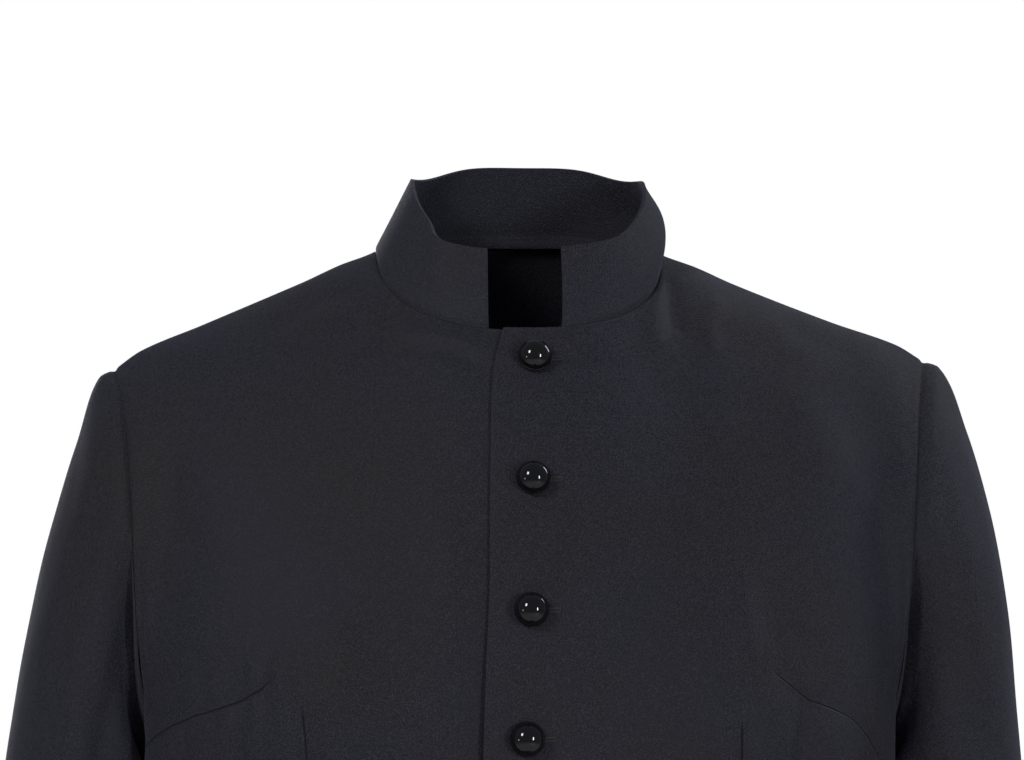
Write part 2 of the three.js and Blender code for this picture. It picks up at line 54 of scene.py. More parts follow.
scene.view_settings.view_transform = "Standard"
mm = 0.001               # the sizes below are in millimetres, Blender works in metres


# Helpers for objects and node trees
def setAll(thing, **values):
    for name, value in values.items():
        setattr(thing, name, value)


def addObject(name, data):
    piece = bpy.data.objects.new(name, data)
    scene.collection.objects.link(piece)
    return piece


def meshObject(name, bm, material):
    for face in bm.faces:
        face.smooth = True
    mesh = bpy.data.meshes.new(name)
    bm.to_mesh(mesh)
    bm.free()
    mesh.materials.append(material)
    return addObject(name, mesh)


def feed(tree, node, inputs):
    # each input takes a plain value or another node's output
    for name, value in inputs.items():
        socket = node.inputs[name]
        if isinstance(value, bpy.types.NodeSocket):
            tree.links.new(value, socket)
        else:
            socket.default_value = (*value, 1) if socket.type == "RGBA" else value


def addNode(tree, kind, inputs, output=0, **settings):
    node = tree.nodes.new("ShaderNode" + kind)
    setAll(node, **settings)
    feed(tree, node, inputs)
    return node.outputs[output] if node.outputs else None


def newMaterial(name):
    material = bpy.data.materials.new(name)
    material.use_nodes = True
    return material, material.node_tree, material.node_tree.nodes["Principled BSDF"]


# Camera, floor and lights
cameraSet = {
    "turn": -3.5,        # degrees round the robe
    "away": 2500,
    "height": -295,      # a low camera that looks up a little
    "aimX": -3,
    "aimZ": -73,
    "frameWidth": 584,   # what the picture is wide at frameAway
    "frameAway": 2511,
}


def makeCamera():
    c = cameraSet
    turn = np.radians(c["turn"])
    place = Vector((np.sin(turn) * c["away"], -np.cos(turn) * c["away"], c["height"])) * mm
    aim = Vector((c["aimX"], 0, c["aimZ"])) * mm
    data = bpy.data.cameras.new("camera")
    setAll(data, sensor_width=36, lens=36 * c["frameAway"] / c["frameWidth"], clip_end=60)
    scene.camera = addObject("camera", data)
    setAll(scene.camera, location=place, rotation_euler=(aim - place).to_track_quat("-Z", "Y").to_euler())


# Each softbox: the way to it from the chest, its distance and size in metres, its power and its colour
warmWhite, plainWhite = (1, 0.97, 0.94), (1, 0.99, 0.98)
coolWhite, blueWhite = (0.95, 0.97, 1), (0.92, 0.95, 1)
softboxes = {
    "sideLeft": dict(towards=(-0.55, -0.66, 0.42), away=2.7, size=(0.5, 0.7), power=17.2, colour=warmWhite),
    "sideLow": dict(towards=(-0.80, -0.45, -0.10), away=2.8, size=(0.35, 0.35), power=1.6, colour=warmWhite),
    "front": dict(towards=(0.555, -0.83, 0.02), away=3.0, size=(0.3, 0.85), power=17.5, colour=coolWhite),
    "rimRight": dict(towards=(0.86, 0.33, 0.58), away=2.4, size=(0.4, 1.1), power=6.2, colour=blueWhite),
    "behind": dict(towards=(-0.25, 0.96, 0.12), away=3.0, size=(1.2, 1.6), power=12, colour=plainWhite),
}
studio = {
    "chestZ": -0.2,
    "surround": (0.15, 0.155, 0.18),  # what the cloth sees of the room
    "surroundLight": 1.0,
    "floorGap": 0.012,                # the hem hangs this far above the floor
    "floorRadius": 9.0,
    "floorColour": (0.86, 0.86, 0.85),
}


def makeStudio():
    centre = Vector((0, 0, studio["chestZ"]))
    for name, box in softboxes.items():
        light = bpy.data.lights.new(name, "AREA")
        wide, high = box["size"]
        setAll(light, shape="RECTANGLE", size=wide, size_y=high, energy=box["power"], color=box["colour"])
        way = Vector(box["towards"]).normalized()
        setAll(addObject(name, light), location=centre + way * box["away"],
               rotation_euler=way.to_track_quat("Z", "Y").to_euler())

    # the camera sees plain white, and the cloth a dim room
    scene.world = bpy.data.worlds.new("studio")
    scene.world.use_nodes = True
    tree = scene.world.node_tree
    tree.nodes.clear()
    seen = addNode(tree, "Background", {"Color": (1, 1, 1)})
    cast = addNode(tree, "Background", {"Color": studio["surround"], "Strength": studio["surroundLight"]})
    isSeen = addNode(tree, "LightPath", {}, "Is Camera Ray")
    both = addNode(tree, "MixShader", {"Fac": isSeen, 1: cast, 2: seen})
    addNode(tree, "OutputWorld", {"Surface": both})

    bm = bmesh.new()
    bmesh.ops.create_circle(bm, cap_ends=True, segments=96, radius=studio["floorRadius"])
    bmesh.ops.translate(bm, vec=(0, 0, cadBox[0].z - studio["floorGap"]), verts=bm.verts)
    material, tree, shader = newMaterial("paleFloor")
    feed(tree, shader, {"Base Color": studio["floorColour"], "Roughness": 0.7})
    floor = meshObject("paleFloor", bm, material)


makeCamera()
makeStudio()
print("camera, lights and floor are in place")


# Curves and tables that the shapes share
def table(names, rows):
    return dict(zip(names.split(), np.array(rows, float).T))


def mix(a, b, t):
    return a + (b - a) * t


def ease(t):
    t = np.clip(t, 0, 1)
    return t * t * (3 - 2 * t)


def swell(offset, spread):
    return np.exp(-((offset / spread) ** 2))


def swellRound(turn, angle, spread):
    return swell((turn - angle + 540) % 360 - 180, spread)


def unit(v):
    return v / np.maximum(np.linalg.norm(v, axis=-1, keepdims=True), 1e-9)


def stepLengths(p, axis):
    return np.linalg.norm(np.diff(p, axis=axis), axis=-1)


def running(steps, axis):
    # the sum of the steps so far, from 0
    return np.insert(np.cumsum(steps, axis), 0, 0, axis)


def halving(low, high, isPast):
    # where a test first holds, between low and high
    for _ in range(26):
        middle = (low + high) / 2
        past = isPast(middle)
        high, low = np.where(past, middle, high), np.where(past, low, middle)
    return low


def readTable(rows, key, name, at):
    # a smooth curve through one column of a table
    keys, values = rows[key], rows[name]
    if keys[0] > keys[-1]:
        keys, values = keys[::-1], values[::-1]
    last = len(keys) - 1
    i = np.clip(np.searchsorted(keys, at) - 1, 0, last - 1)
    before, after = np.maximum(i - 1, 0), np.minimum(i + 2, last)
    span = keys[i + 1] - keys[i]
    t = np.clip((at - keys[i]) / span, 0, 1)
    leaving = (values[i + 1] - values[before]) / (keys[i + 1] - keys[before]) * span
    arriving = (values[after] - values[i]) / (keys[after] - keys[i]) * span
    return ((2 * t**3 - 3 * t**2 + 1) * values[i] + (t**3 - 2 * t**2 + t) * leaving
            + (3 * t**2 - 2 * t**3) * values[i + 1] + (t**3 - t**2) * arriving)


def curvePoint(ends, t):
    # a cubic curve from its two ends and two handles
    start, rise, reach, end = ends
    t = t[..., None]
    return (1 - t) ** 3 * start + 3 * (1 - t) ** 2 * t * rise + 3 * (1 - t) * t**2 * reach + t**3 * end


def joined(x, y, z):
    return np.stack(np.broadcast_arrays(x, y, z), -1)


# The cut of the body, in its worn form
neckCut = {"frontZ": -51.5, "sideY": 4, "backY": 58, "fullness": 2.25, "share": 0.34, "lowest": 0.3}
armpitZ = -290
lap = {
    "under": 24, "layer": 2.6, "levelFrom": 30, "levelTo": 75,
    "lift": 2.2, "liftFrom": -200, "liftOver": 90,
}
lapEdge = table("z past", [
    (-50, 12), (-78, 18.5), (-130, 21), (-200, 22.5), (-240, 24.5), (-290, 26), (-400, 27), (-1400, 27)])
bust = {"x": 128, "z": -262, "depth": 7, "spreadX": 46, "spreadZ": 55}
lean = {"across": 2.6, "up": 3.7, "from": -280, "to": -100, "halfWidth": 232}
armDent = {"y": 14, "spread": 42}
ringFullness = 2.2
rowLevel = {"from": 0.7, "raise": 0.27}
spreadOver = 300
bodySections = table("z wide front back side dent", [
    (-290, 225, 136, 104, 8, 33), (-300, 224, 136, 104, 8, 40), (-340, 217, 134, 103, 8, 34),
    (-430, 197, 124, 98, 6, 10), (-520, 196, 126, 104, 5, 0), (-640, 211, 136, 121, 4, 0),
    (-850, 236, 157, 148, 2, 0), (-1100, 268, 189, 184, 0, 0), (-1400, 304, 224, 224, 0, 0)])
skirtFolds = table("angle top out width", [
    (20, -640, 15, 7), (43, -540, 22, 8.5), (66, -700, 17, 7.5), (91, -600, 21, 9), (116, -680, 20, 8.5),
    (140, -560, 24, 9), (165, -720, 18, 8), (-18, -700, 13, 6.5), (-39, -580, 20, 8), (-63, -660, 19, 8.5),
    (-88, -560, 23, 8.5), (-112, -720, 17, 8), (-137, -620, 22, 9.5), (-164, -600, 21, 8.5)])
columnAngles = table("share angle", [
    (-0.17, -11), (0, 0), (0.17, 11), (0.34, 22), (0.5, 34), (0.67, 48), (0.85, 68), (1, 90)])
ridge = table("share x y z", [
    (-0.17, -41.2, 4, 22), (0, 0, 5, 30), (0.17, 41.2, 4, 22), (0.34, 81, 4, 0), (0.43, 102, 4.5, -7.6),
    (0.525, 124, 5, -17.6), (0.77, 180, 7, -40.2), (0.93, 216, 8, -53.7), (1, 232, 8, -64.2)])
frontColumns = table("share riseX riseY riseZ reachX reachY reachZ", [
    (-0.34, 0, -2, 100, 0, 78, 20), (0, 0, -2, 95, 0, 95, 31), (0.34, 0, -2, 100, 0, 78, 20),
    (0.67, 2, -6, 90, 0, 76, 20), (0.85, -7, -23, 75, 4, 71, 20), (1, 29, -83, 0, 18, 83, 39)])
backColumns = table("share riseX riseY riseZ reachX reachY reachZ", [
    (-0.17, 0, 10, 135, 0, -88, -30), (0, 0, 10, 140, 0, -90, -24), (0.17, 0, 10, 135, 0, -88, -30),
    (0.34, 0, 8, 125, 0, -76, -16), (0.5, 0, 8, 110, 0, -72, 6), (0.67, 2, 8, 95, 0, -70, 14),
    (0.85, 4, 21, 75, 4, -66, 18), (1, 31, 80, 4, 17, -82, 35)])


def withBust(p):
    push = bust["depth"] * swell(abs(p[..., 0]) - bust["x"], bust["spreadX"])
    push = push * swell(p[..., 2] - bust["z"], bust["spreadZ"])
    p[..., 1] -= np.where(p[..., 1] > 0, 0, push)
    return p


def withLean(p):
    amount = ease((p[..., 2] - lean["from"]) / (lean["to"] - lean["from"]))
    amount = amount * abs(p[..., 0] / lean["halfWidth"]) ** 3
    p[..., 0] += lean["across"] * amount
    p[..., 2] += lean["up"] * amount * np.sign(p[..., 0])
    return p


def ringPoint(turn, z):
    # a point of the body's rings, by its angle from the centre front
    power = 2 / ringFullness
    sine = abs(np.sin(np.radians(turn))) ** power
    cosine = abs(np.cos(np.radians(turn))) ** power
    read = lambda name: readTable(bodySections, "z", name, z)
    y = read("side") + np.where(abs(turn) < 90, -read("front"), read("back")) * cosine
    x = read("wide") * sine - read("dent") * swell(y - armDent["y"], armDent["spread"]) * sine
    out = 0
    for angle, top, size, width in zip(*skirtFolds.values()):
        grown = ease((top - z) / (top - bodySections["z"][-1]))
        out = out + size * grown * swellRound(turn, angle, width)
    stretch = 1 + out / np.hypot(x, y)
    return joined(np.where(turn < 0, -1, 1) * x * stretch, y * stretch, z)


def yokeColumns(size, isFront):
    # the curves from the armpit level to the ridge, by their share of the way to the armhole
    columns = frontColumns if isFront else backColumns
    read = lambda rows, name: readTable(rows, "share", name, size)
    turn = read(columnAngles, "angle")
    start = ringPoint(turn if isFront else 180 - turn, np.full(size.shape, float(armpitZ)))
    rise = start + joined(*[read(columns, n) for n in ("riseX", "riseY", "riseZ")])
    end = joined(*[read(ridge, n) for n in "xyz"])
    reach = end - joined(*[read(columns, n) for n in ("reachX", "reachY", "reachZ")])
    return start, rise, reach, end


def yokeHeight(share, up, isFront):
    # how high on its column a point lies, once the neckline has cut the column short
    size = abs(share)
    ends = yokeColumns(size, isFront)
    inside = np.clip(1 - (size / neckCut["share"]) ** neckCut["fullness"], 0, 1)
    cosine = inside ** (1 / neckCut["fullness"])

    def isPastNeck(height):
        p = curvePoint(ends, height)
        if isFront:
            return p[..., 2] > neckCut["frontZ"] * cosine
        return p[..., 1] < mix(neckCut["sideY"], neckCut["backY"], cosine)

    low = halving(np.full(size.shape, neckCut["lowest"]), np.ones(size.shape), isPastNeck)
    cut = 1 - np.where(size >= neckCut["share"], 1, low)
    raised = rowLevel["raise"] * ease((size - rowLevel["from"]) / (1 - rowLevel["from"])) * up * (1 - up)
    return up - cut * up * up + raised


def columnPoint(share, height, isFront):
    p = withBust(curvePoint(yokeColumns(abs(share), isFront), height))
    p[..., 0] *= np.where(share < 0, -1, 1)
    return withLean(p)


def yokePoint(share, up, isFront):
    share, up = np.broadcast_arrays(share, up)
    return columnPoint(share, yokeHeight(share, up, isFront), isFront)


def lowerPoint(share, z, isFront):
    share, z = np.broadcast_arrays(share, z)
    spread = ease((armpitZ - z) / spreadOver)
    turn = mix(readTable(columnAngles, "share", "angle", abs(share)), 90 * abs(share), spread)
    return withBust(ringPoint(np.where(share < 0, -1, 1) * (turn if isFront else 180 - turn), z))


# Rows of every body panel: from the top edge down the yoke, then by height to the hem
edgeSteps = np.array([0, 0.6, 1.4, 2.6, 4.2, 6.5])    # closer rows and columns beside an edge
yokeLength = 250
rowUp = np.concatenate([1 - edgeSteps / yokeLength, np.linspace(1 - 10 / yokeLength, 0, 62)])
rowZ = np.concatenate([
    np.arange(-294, -450, -4.0), np.linspace(-456, -1390, 120), -1400 + edgeSteps[::-1]])


def perRow(value):
    return np.full((len(rowUp) + len(rowZ), 1), float(value))


def panelAt(share, isFront):
    upper = yokePoint(share[:len(rowUp)], rowUp[:, None], isFront)
    lower = lowerPoint(share[len(rowUp):], rowZ[:, None], isFront)
    return np.concatenate([upper, lower])


def panelFacing(share, isFront):
    # the way the cloth faces, from small steps across and up
    step = 0.004
    before, after = np.clip(share - step, -1, 1), np.clip(share + step, -1, 1)
    top, low = slice(0, len(rowUp)), slice(len(rowUp), None)
    height = yokeHeight(*np.broadcast_arrays(share[top], rowUp[:, None]), isFront)
    at = lambda s, h: columnPoint(s, h, isFront)
    upper = np.cross(at(after[top], height) - at(before[top], height),
                     at(share[top], np.minimum(height + step, 1)) - at(share[top], height - step))
    z = rowZ[:, None]
    at = lambda s, h: lowerPoint(s, h, isFront)
    lower = np.cross(at(after[low], z) - at(before[low], z), at(share[low], z + 1) - at(share[low], z - 1))
    return unit(np.concatenate([upper, lower]) * (1 if isFront else -1))


def frontAt(share, side):
    # the left front (side 1) lies on the right one, a layer further out near the centre, and its edge lifts
    p = panelAt(share, True)
    if side < 0:
        return p
    layer = 1 - ease((p[..., 0] - lap["levelFrom"]) / (lap["levelTo"] - lap["levelFrom"]))
    past = readTable(lapEdge, "z", "past", p[..., 2])
    lifted = lap["lift"] * ease(-p[..., 0] / past) * ease((lap["liftFrom"] - p[..., 2]) / lap["liftOver"])
    return p + panelFacing(share, True) * (layer * lap["layer"] + lifted)[..., None]


def edgeShare(side):
    # the share at which each row reaches the front edge past the centre line
    centreZ = panelAt(perRow(0), True)[..., 2]
    past = readTable(lapEdge, "z", "past", centreZ) if side > 0 else lap["under"]
    isPast = lambda share: abs(panelAt(share, True)[..., 0]) >= past
    return -side * halving(perRow(0), perRow(neckCut["share"]), isPast)


def spreadAlong(pointAt, start, stop, count, nearStart, nearStop, isCrowded=False):
    # shares along each row that lie evenly in the cloth, with closer ones beside an edge
    t = np.linspace(0, 1, 260)
    if isCrowded:
        t = np.sin(t * np.pi / 2)                     # crowded where the neckline climbs to the neck point
    dense = start + (stop - start) * t
    run = running(stepLengths(pointAt(dense), 1), 1)
    length = run[:, -1:]
    first = np.broadcast_to(nearStart, (len(run), len(nearStart)))
    final = length - np.array(nearStop)[::-1]
    inner = np.linspace(0, 1, count + 2)[1:-1]
    middle = first[:, -1:] + (final[:, :1] - first[:, -1:]) * inner
    targets = np.concatenate([first, middle, final], 1)
    return np.array([np.interp(*row) for row in zip(targets, run, dense)])


def sharesOut(at, side, start, nearStart, counts):
    # shares from the front edge or the centre back to the neck point, and on to the armhole
    neckEnd = perRow(side * neckCut["share"])
    inner = spreadAlong(at, start, neckEnd, counts[0], nearStart, [0], isCrowded=True)
    outer = spreadAlong(at, neckEnd, perRow(side), counts[1], [0], edgeSteps)
    return np.concatenate([inner, outer[:, 1:]], 1)


def frontShares(side):
    return sharesOut(lambda share: frontAt(share, side), side, edgeShare(side), edgeSteps, (30, 52))


def backShares():
    half = sharesOut(lambda share: panelAt(share, False), 1, perRow(0), [0], (26, 48))
    return np.concatenate([half[:, ::-1], -half[:, 1:]], 1)


# The cut of the sleeves
sleeveSections = table("along x y z wide deep", [
    (0, 243.5, 16, -296, 45, 66), (0.17, 251, 17, -362, 47, 63), (0.36, 259, 14, -434, 48, 60),
    (0.55, 269, 6, -506, 47, 57), (0.77, 281, -9, -590, 46, 53), (1, 293, -27, -678, 45, 50)])
sleeveStart = np.array([0.75, 0, -0.66])
sleevePull = {"startUnder": 7, "endUnder": 6}
sleeveHeads = {1: {"startTop": 38, "endTop": 135, "out": 9}, -1: {"startTop": 22, "endTop": 100, "out": 0}}
sleeveFolds = table("angle from to depth width", [
    (62, 0.05, 0.75, 3.5, 20), (118, 0.25, 1, 3, 17), (-70, 0.1, 0.85, 3.5, 22), (-128, 0.35, 0.95, 3, 18)])
sleeveFoldEnd = 0.15
sleeveGrid = {"round": 96, "head": 220, "headRows": 48, "arm": 390, "armRows": 88}    # lengths and rows


def armholePoint(turn, side):
    # round the armhole, from the shoulder tip down the front, under the arm and up the back
    share = np.full(turn.shape, float(side))
    front = yokePoint(share, np.clip(1 - turn / 180, 0, 1), True)
    back = yokePoint(share, np.clip(turn / 180 - 1, 0, 1), False)
    p = np.where((turn <= 180)[..., None], front, back)
    p[..., 0] *= side
    return p


def sleeveCentre(along):
    return joined(*[readTable(sleeveSections, "along", n, along) for n in "xyz"])


def sleeveDown(along):
    step = 0.02
    return unit(sleeveCentre(np.minimum(along + step, 1)) - sleeveCentre(np.maximum(along - step, 0)))


def sleeveRing(along, turn):
    down = sleeveDown(along)
    outward = unit(np.array([1.0, 0, 0]) - down * down[..., :1])
    forward = np.cross(down, outward)
    depth = 0
    for angle, start, stop, size, width in zip(*sleeveFolds.values()):
        reach = ease((along - start) / sleeveFoldEnd) * ease((stop - along) / sleeveFoldEnd)
        depth = depth + size * reach * swellRound(turn, angle, width)
    wide = (readTable(sleeveSections, "along", "wide", along) - depth) * np.cos(np.radians(turn))
    deep = (readTable(sleeveSections, "along", "deep", along) - depth) * np.sin(np.radians(turn))
    return sleeveCentre(along) + outward * wide[..., None] + forward * deep[..., None]


def sleeveAt(side):
    grid = sleeveGrid
    turn = np.linspace(0, 360, grid["round"] + 1)[None, :]
    headSteps = np.concatenate([edgeSteps, np.linspace(9, grid["head"], grid["headRows"])]) / grid["head"]
    armSteps = np.concatenate([np.linspace(0.01, 0.975, grid["armRows"]), 1 - edgeSteps[::-1] / grid["arm"]])
    headT, headTurn = np.broadcast_arrays(headSteps[:, None], turn)
    top = (1 + np.cos(np.radians(headTurn))) / 2
    pull = sleeveHeads[side]
    start = armholePoint(headTurn, side)
    end = sleeveRing(np.zeros(headTurn.shape), headTurn)
    leave = start + sleeveStart * mix(sleevePull["startUnder"], pull["startTop"], top)[..., None]
    down = sleeveDown(np.zeros(headTurn.shape))
    arrive = end - down * mix(sleevePull["endUnder"], pull["endTop"], top)[..., None]
    arrive[..., 0] += pull["out"] * top
    head = curvePoint((start, leave, arrive, end), headT)
    arm = sleeveRing(*np.broadcast_arrays(armSteps[:, None], turn))
    p = np.concatenate([head, arm])
    p[..., 0] *= side
    return p


# The cut of the collar
collarCut = {
    "frontRise": 45.3, "sideRise": 42, "backRise": 42, "halfWidth": 66, "frontY": -63, "backY": 48,
    "halfNotch": 20.5, "lean": 6, "swell": 6, "allowance": 4, "soften": 10,
    "neckHalfWidth": 81, "neckFrontY": -74, "wall": 2.4, "rows": 22, "columns": 230,
    "tall": 46, "uprightFrom": 0.55, "uprightOver": 0.4, "tuck": 1.6, "tuckOver": 1.5,
}


def softened(p, run, over):
    # an average along a line of points, which leaves its ends in place
    reach = np.minimum(run, run[-1] - run)
    spread = np.minimum(over, 0.3 * reach + 0.01)
    weight = np.exp(-(((run[:, None] - run) / spread[:, None]) ** 2)) * np.gradient(run)
    return (weight / weight.sum(1, keepdims=True)) @ p


def collarAt(left, right, back):
    c = collarCut
    neckX = c["neckHalfWidth"] + 0.3

    def fromEnd(edge):
        # the neckline of a front, from the collar's end to the shoulder seam
        size = abs(edge[:, 0])
        isRun = (size > c["halfNotch"]) & (size < neckX) & (np.sign(edge[:, 0]) == np.sign(edge[-1, 0]))
        k = np.argmax(isRun)
        before, after = edge[k - 1], edge[k]
        t = (c["halfNotch"] - abs(before[0])) / (abs(after[0]) - abs(before[0]))
        return np.concatenate([[mix(before, after, t)], edge[isRun]])

    middle = back[0][abs(back[0][:, 0]) < neckX]
    seam = np.concatenate([fromEnd(left[0]), middle, fromEnd(right[0])[::-1]])
    seam = seam[np.concatenate([[True], stepLengths(seam, 0) > 0.05])]
    run = running(stepLengths(seam, 0), 0)
    even = np.concatenate([
        edgeSteps, np.linspace(9, run[-1] - 9, c["columns"]), run[-1] - edgeSteps[::-1]])
    low = np.stack([np.interp(even, run, seam[:, k]) for k in range(3)], -1)
    isFront = low[:, 1] < neckCut["sideY"]
    wide = np.clip(abs(low[:, 0]) / c["neckHalfWidth"], 0, 1)
    cosine = (1 - wide ** neckCut["fullness"]) ** (1 / neckCut["fullness"])
    rise = mix(c["sideRise"], np.where(isFront, c["frontRise"], c["backRise"]), cosine)
    nearEnd = np.where(isFront, ease((cosine - c["uprightFrom"]) / c["uprightOver"]), 0)
    x = mix(low[:, 0] * c["halfWidth"] / c["neckHalfWidth"] + c["lean"], low[:, 0], nearEnd)
    inward = np.where(isFront, c["frontY"] - c["neckFrontY"], c["backY"] - neckCut["backY"])
    high = softened(joined(x, low[:, 1] + inward * cosine, low[:, 2] + rise), even, c["soften"])
    tall = c["tall"]
    up = np.concatenate([
        [-c["allowance"] / tall, -1.2 / tall], edgeSteps / tall,
        np.linspace(9 / tall, 1 - 4 / tall, c["rows"]), 1 - edgeSteps[3::-1] / tall])[::-1, None, None]
    p = low + (high - low) * up
    toLeft = np.clip(low[:, 0] / c["neckHalfWidth"], 0, 1) ** 2
    p[..., 0] += (4 * np.clip(up[..., 0] * (1 - up[..., 0]), 0, 1)) ** 2 * toLeft * c["swell"]
    return p


# Creases, given one by one. On the body x and z are where each one starts and ends, as seen from the front
# or the back. Its middle bends aside by bow, it stands out by out (troughs are negative), and width is how
# broad it is.
creaseNames = "x1 z1 x2 z2 bow out width"
frontCreases = table(creaseNames, [
    # the wearer's left, from the neck down
    (76, -21, 74, -60, 2, 2.2, 6), (86, -21, 88, -52, 2, -2.2, 5), (112, -30, 106, -62, 3, 1.5, 5),
    (150, -40, 190, -58, 4, -1, 8), (58, -66, 96, -128, -8, -1.2, 12), (150, -75, 200, -150, 10, 1.2, 14),
    (206, -120, 176, -190, -6, -1, 9), (116, -188, 118, -330, -3, 3.3, 8),
    (105, -232, 103, -330, 2, -1.5, 6), (134, -250, 134, -340, 3, 2.2, 10),
    (150, -258, 148, -345, 2, -2.7, 7), (172, -268, 166, -350, 3, 2.2, 8), (187, -280, 178, -360, 2, -1.4, 6),
    (60, -170, 70, -300, 6, 0.9, 18), (30, -200, 26, -330, 3, -0.8, 12),
    # the wearer's right
    (-70, -54, -20, -66, -5, 1.7, 4), (-66, -62, -24, -75, -4, -1.3, 4), (-75, -36, -78, -64, -2, -1.1, 5),
    (-92, -27, -146, -56, 5, -1.9, 8), (-98, -38, -160, -70, 5, 1, 9), (-44, -160, -38, -330, 5, 2.8, 15),
    (-20, -190, -24, -320, 3, -1.5, 9), (-106, -215, -103, -330, -3, 2.8, 11),
    (-131, -228, -130, -330, 2, 2.2, 6), (-148, -262, -146, -340, 2, 2, 5),
    (-155, -264, -154, -350, 2, -1.8, 4.5), (-163, -266, -160, -350, 2, 2.1, 5),
    (-176, -272, -170, -350, 3, 1.1, 5), (-186, -276, -178, -352, 2, -1.8, 5),
    (-200, -110, -172, -190, 6, -1, 10), (-150, -90, -196, -150, -8, 0.9, 14),
    # small puckers over the darts and drags beside the buttons
    (-148, -236, -150, -256, 0, 1.7, 3.2), (-137, -236, -135, -248, 0, 1.9, 3),
    (-171, -242, -169, -262, 0, 1.4, 3.4), (-183, -246, -181, -268, 0, 1.4, 3.6),
    (133, -228, 129, -242, 0, 1.5, 3), (150, -240, 149, -254, 0, 0.6, 3.6),
    (-21, -126, -8, -128, 0, -0.9, 2.2), (-21, -143, -8, -146, 1, -1, 2.4),
    (-18, -62, -6, -71, 1, 1, 2.8), (14, -66, 52, -70, 2, -1.5, 6), (14, -62, 36, -60, 1, 0.6, 4),
    (14, -143, 34, -148, 1, -0.5, 4), (-19, -204, -8, -208, 1, 0.5, 2.6), (13, -214, 32, -220, 1, -0.5, 4),
    # the waist and the skirt
    (-178, -392, -96, -424, -6, -2, 9), (-182, -418, -104, -446, 6, 1.6, 8),
    (180, -384, 92, -416, 7, -2, 9), (184, -412, 98, -440, -5, 1.6, 8), (-150, -450, -60, -470, 5, -1.4, 9),
    (152, -446, 58, -468, -6, -1.3, 9), (-70, -520, -84, -760, 8, -2.2, 13),
    (66, -500, 88, -740, -8, -2.2, 13), (-150, -500, -170, -700, -6, 2.2, 12),
    (148, -520, 172, -730, 8, 2.2, 12), (-34, -620, -44, -900, 5, -1.8, 14),
    (38, -600, 46, -880, -5, -1.8, 14), (-130, -760, -150, -1040, 6, -2.6, 12),
    (126, -740, 150, -1060, -8, -2.6, 12),
])
backCreases = table(creaseNames, [
    (60, -20, 74, -70, 3, 1.2, 6), (-58, -18, -72, -72, -3, 1.2, 6), (-120, -76, 110, -84, -9, -1.2, 10),
    (-90, -112, 130, -120, 8, 0.9, 12), (190, -130, 120, -270, 14, -2.2, 10),
    (-192, -120, -124, -280, -12, -2.2, 10), (176, -120, 100, -250, 12, 1.8, 12),
    (-178, -114, -96, -262, -12, 1.8, 12), (206, -180, 172, -300, 5, 1.6, 8),
    (-206, -176, -170, -296, -5, 1.6, 8), (-24, -150, -16, -330, 6, 1.4, 14),
    (20, -190, 12, -360, -5, -1.2, 12), (182, -340, 70, -398, 9, -2.6, 9), (184, -366, 64, -424, 10, 2.2, 9),
    (-184, -350, -74, -404, -8, -2.6, 9), (-182, -378, -66, -430, -9, 2.2, 9),
    (-60, -420, 66, -428, 6, -2.4, 8), (-80, -446, 82, -450, -6, 2, 8), (170, -440, 60, -476, 6, -1.8, 9),
    (-168, -436, -62, -480, -7, -1.8, 9), (20, -470, 34, -760, -8, 2.4, 13),
    (-36, -500, -46, -780, 8, -2.4, 13), (90, -520, 108, -820, 8, -2.6, 13),
    (-98, -510, -116, -790, -8, 2.6, 13), (150, -560, 176, -900, -8, 2.4, 13),
    (-154, -580, -178, -920, 8, -2.4, 13), (-10, -780, -14, -1120, 6, -2.6, 14),
    (62, -840, 74, -1180, -8, 2.4, 13), (-76, -860, -90, -1200, 8, 2.4, 13),
])
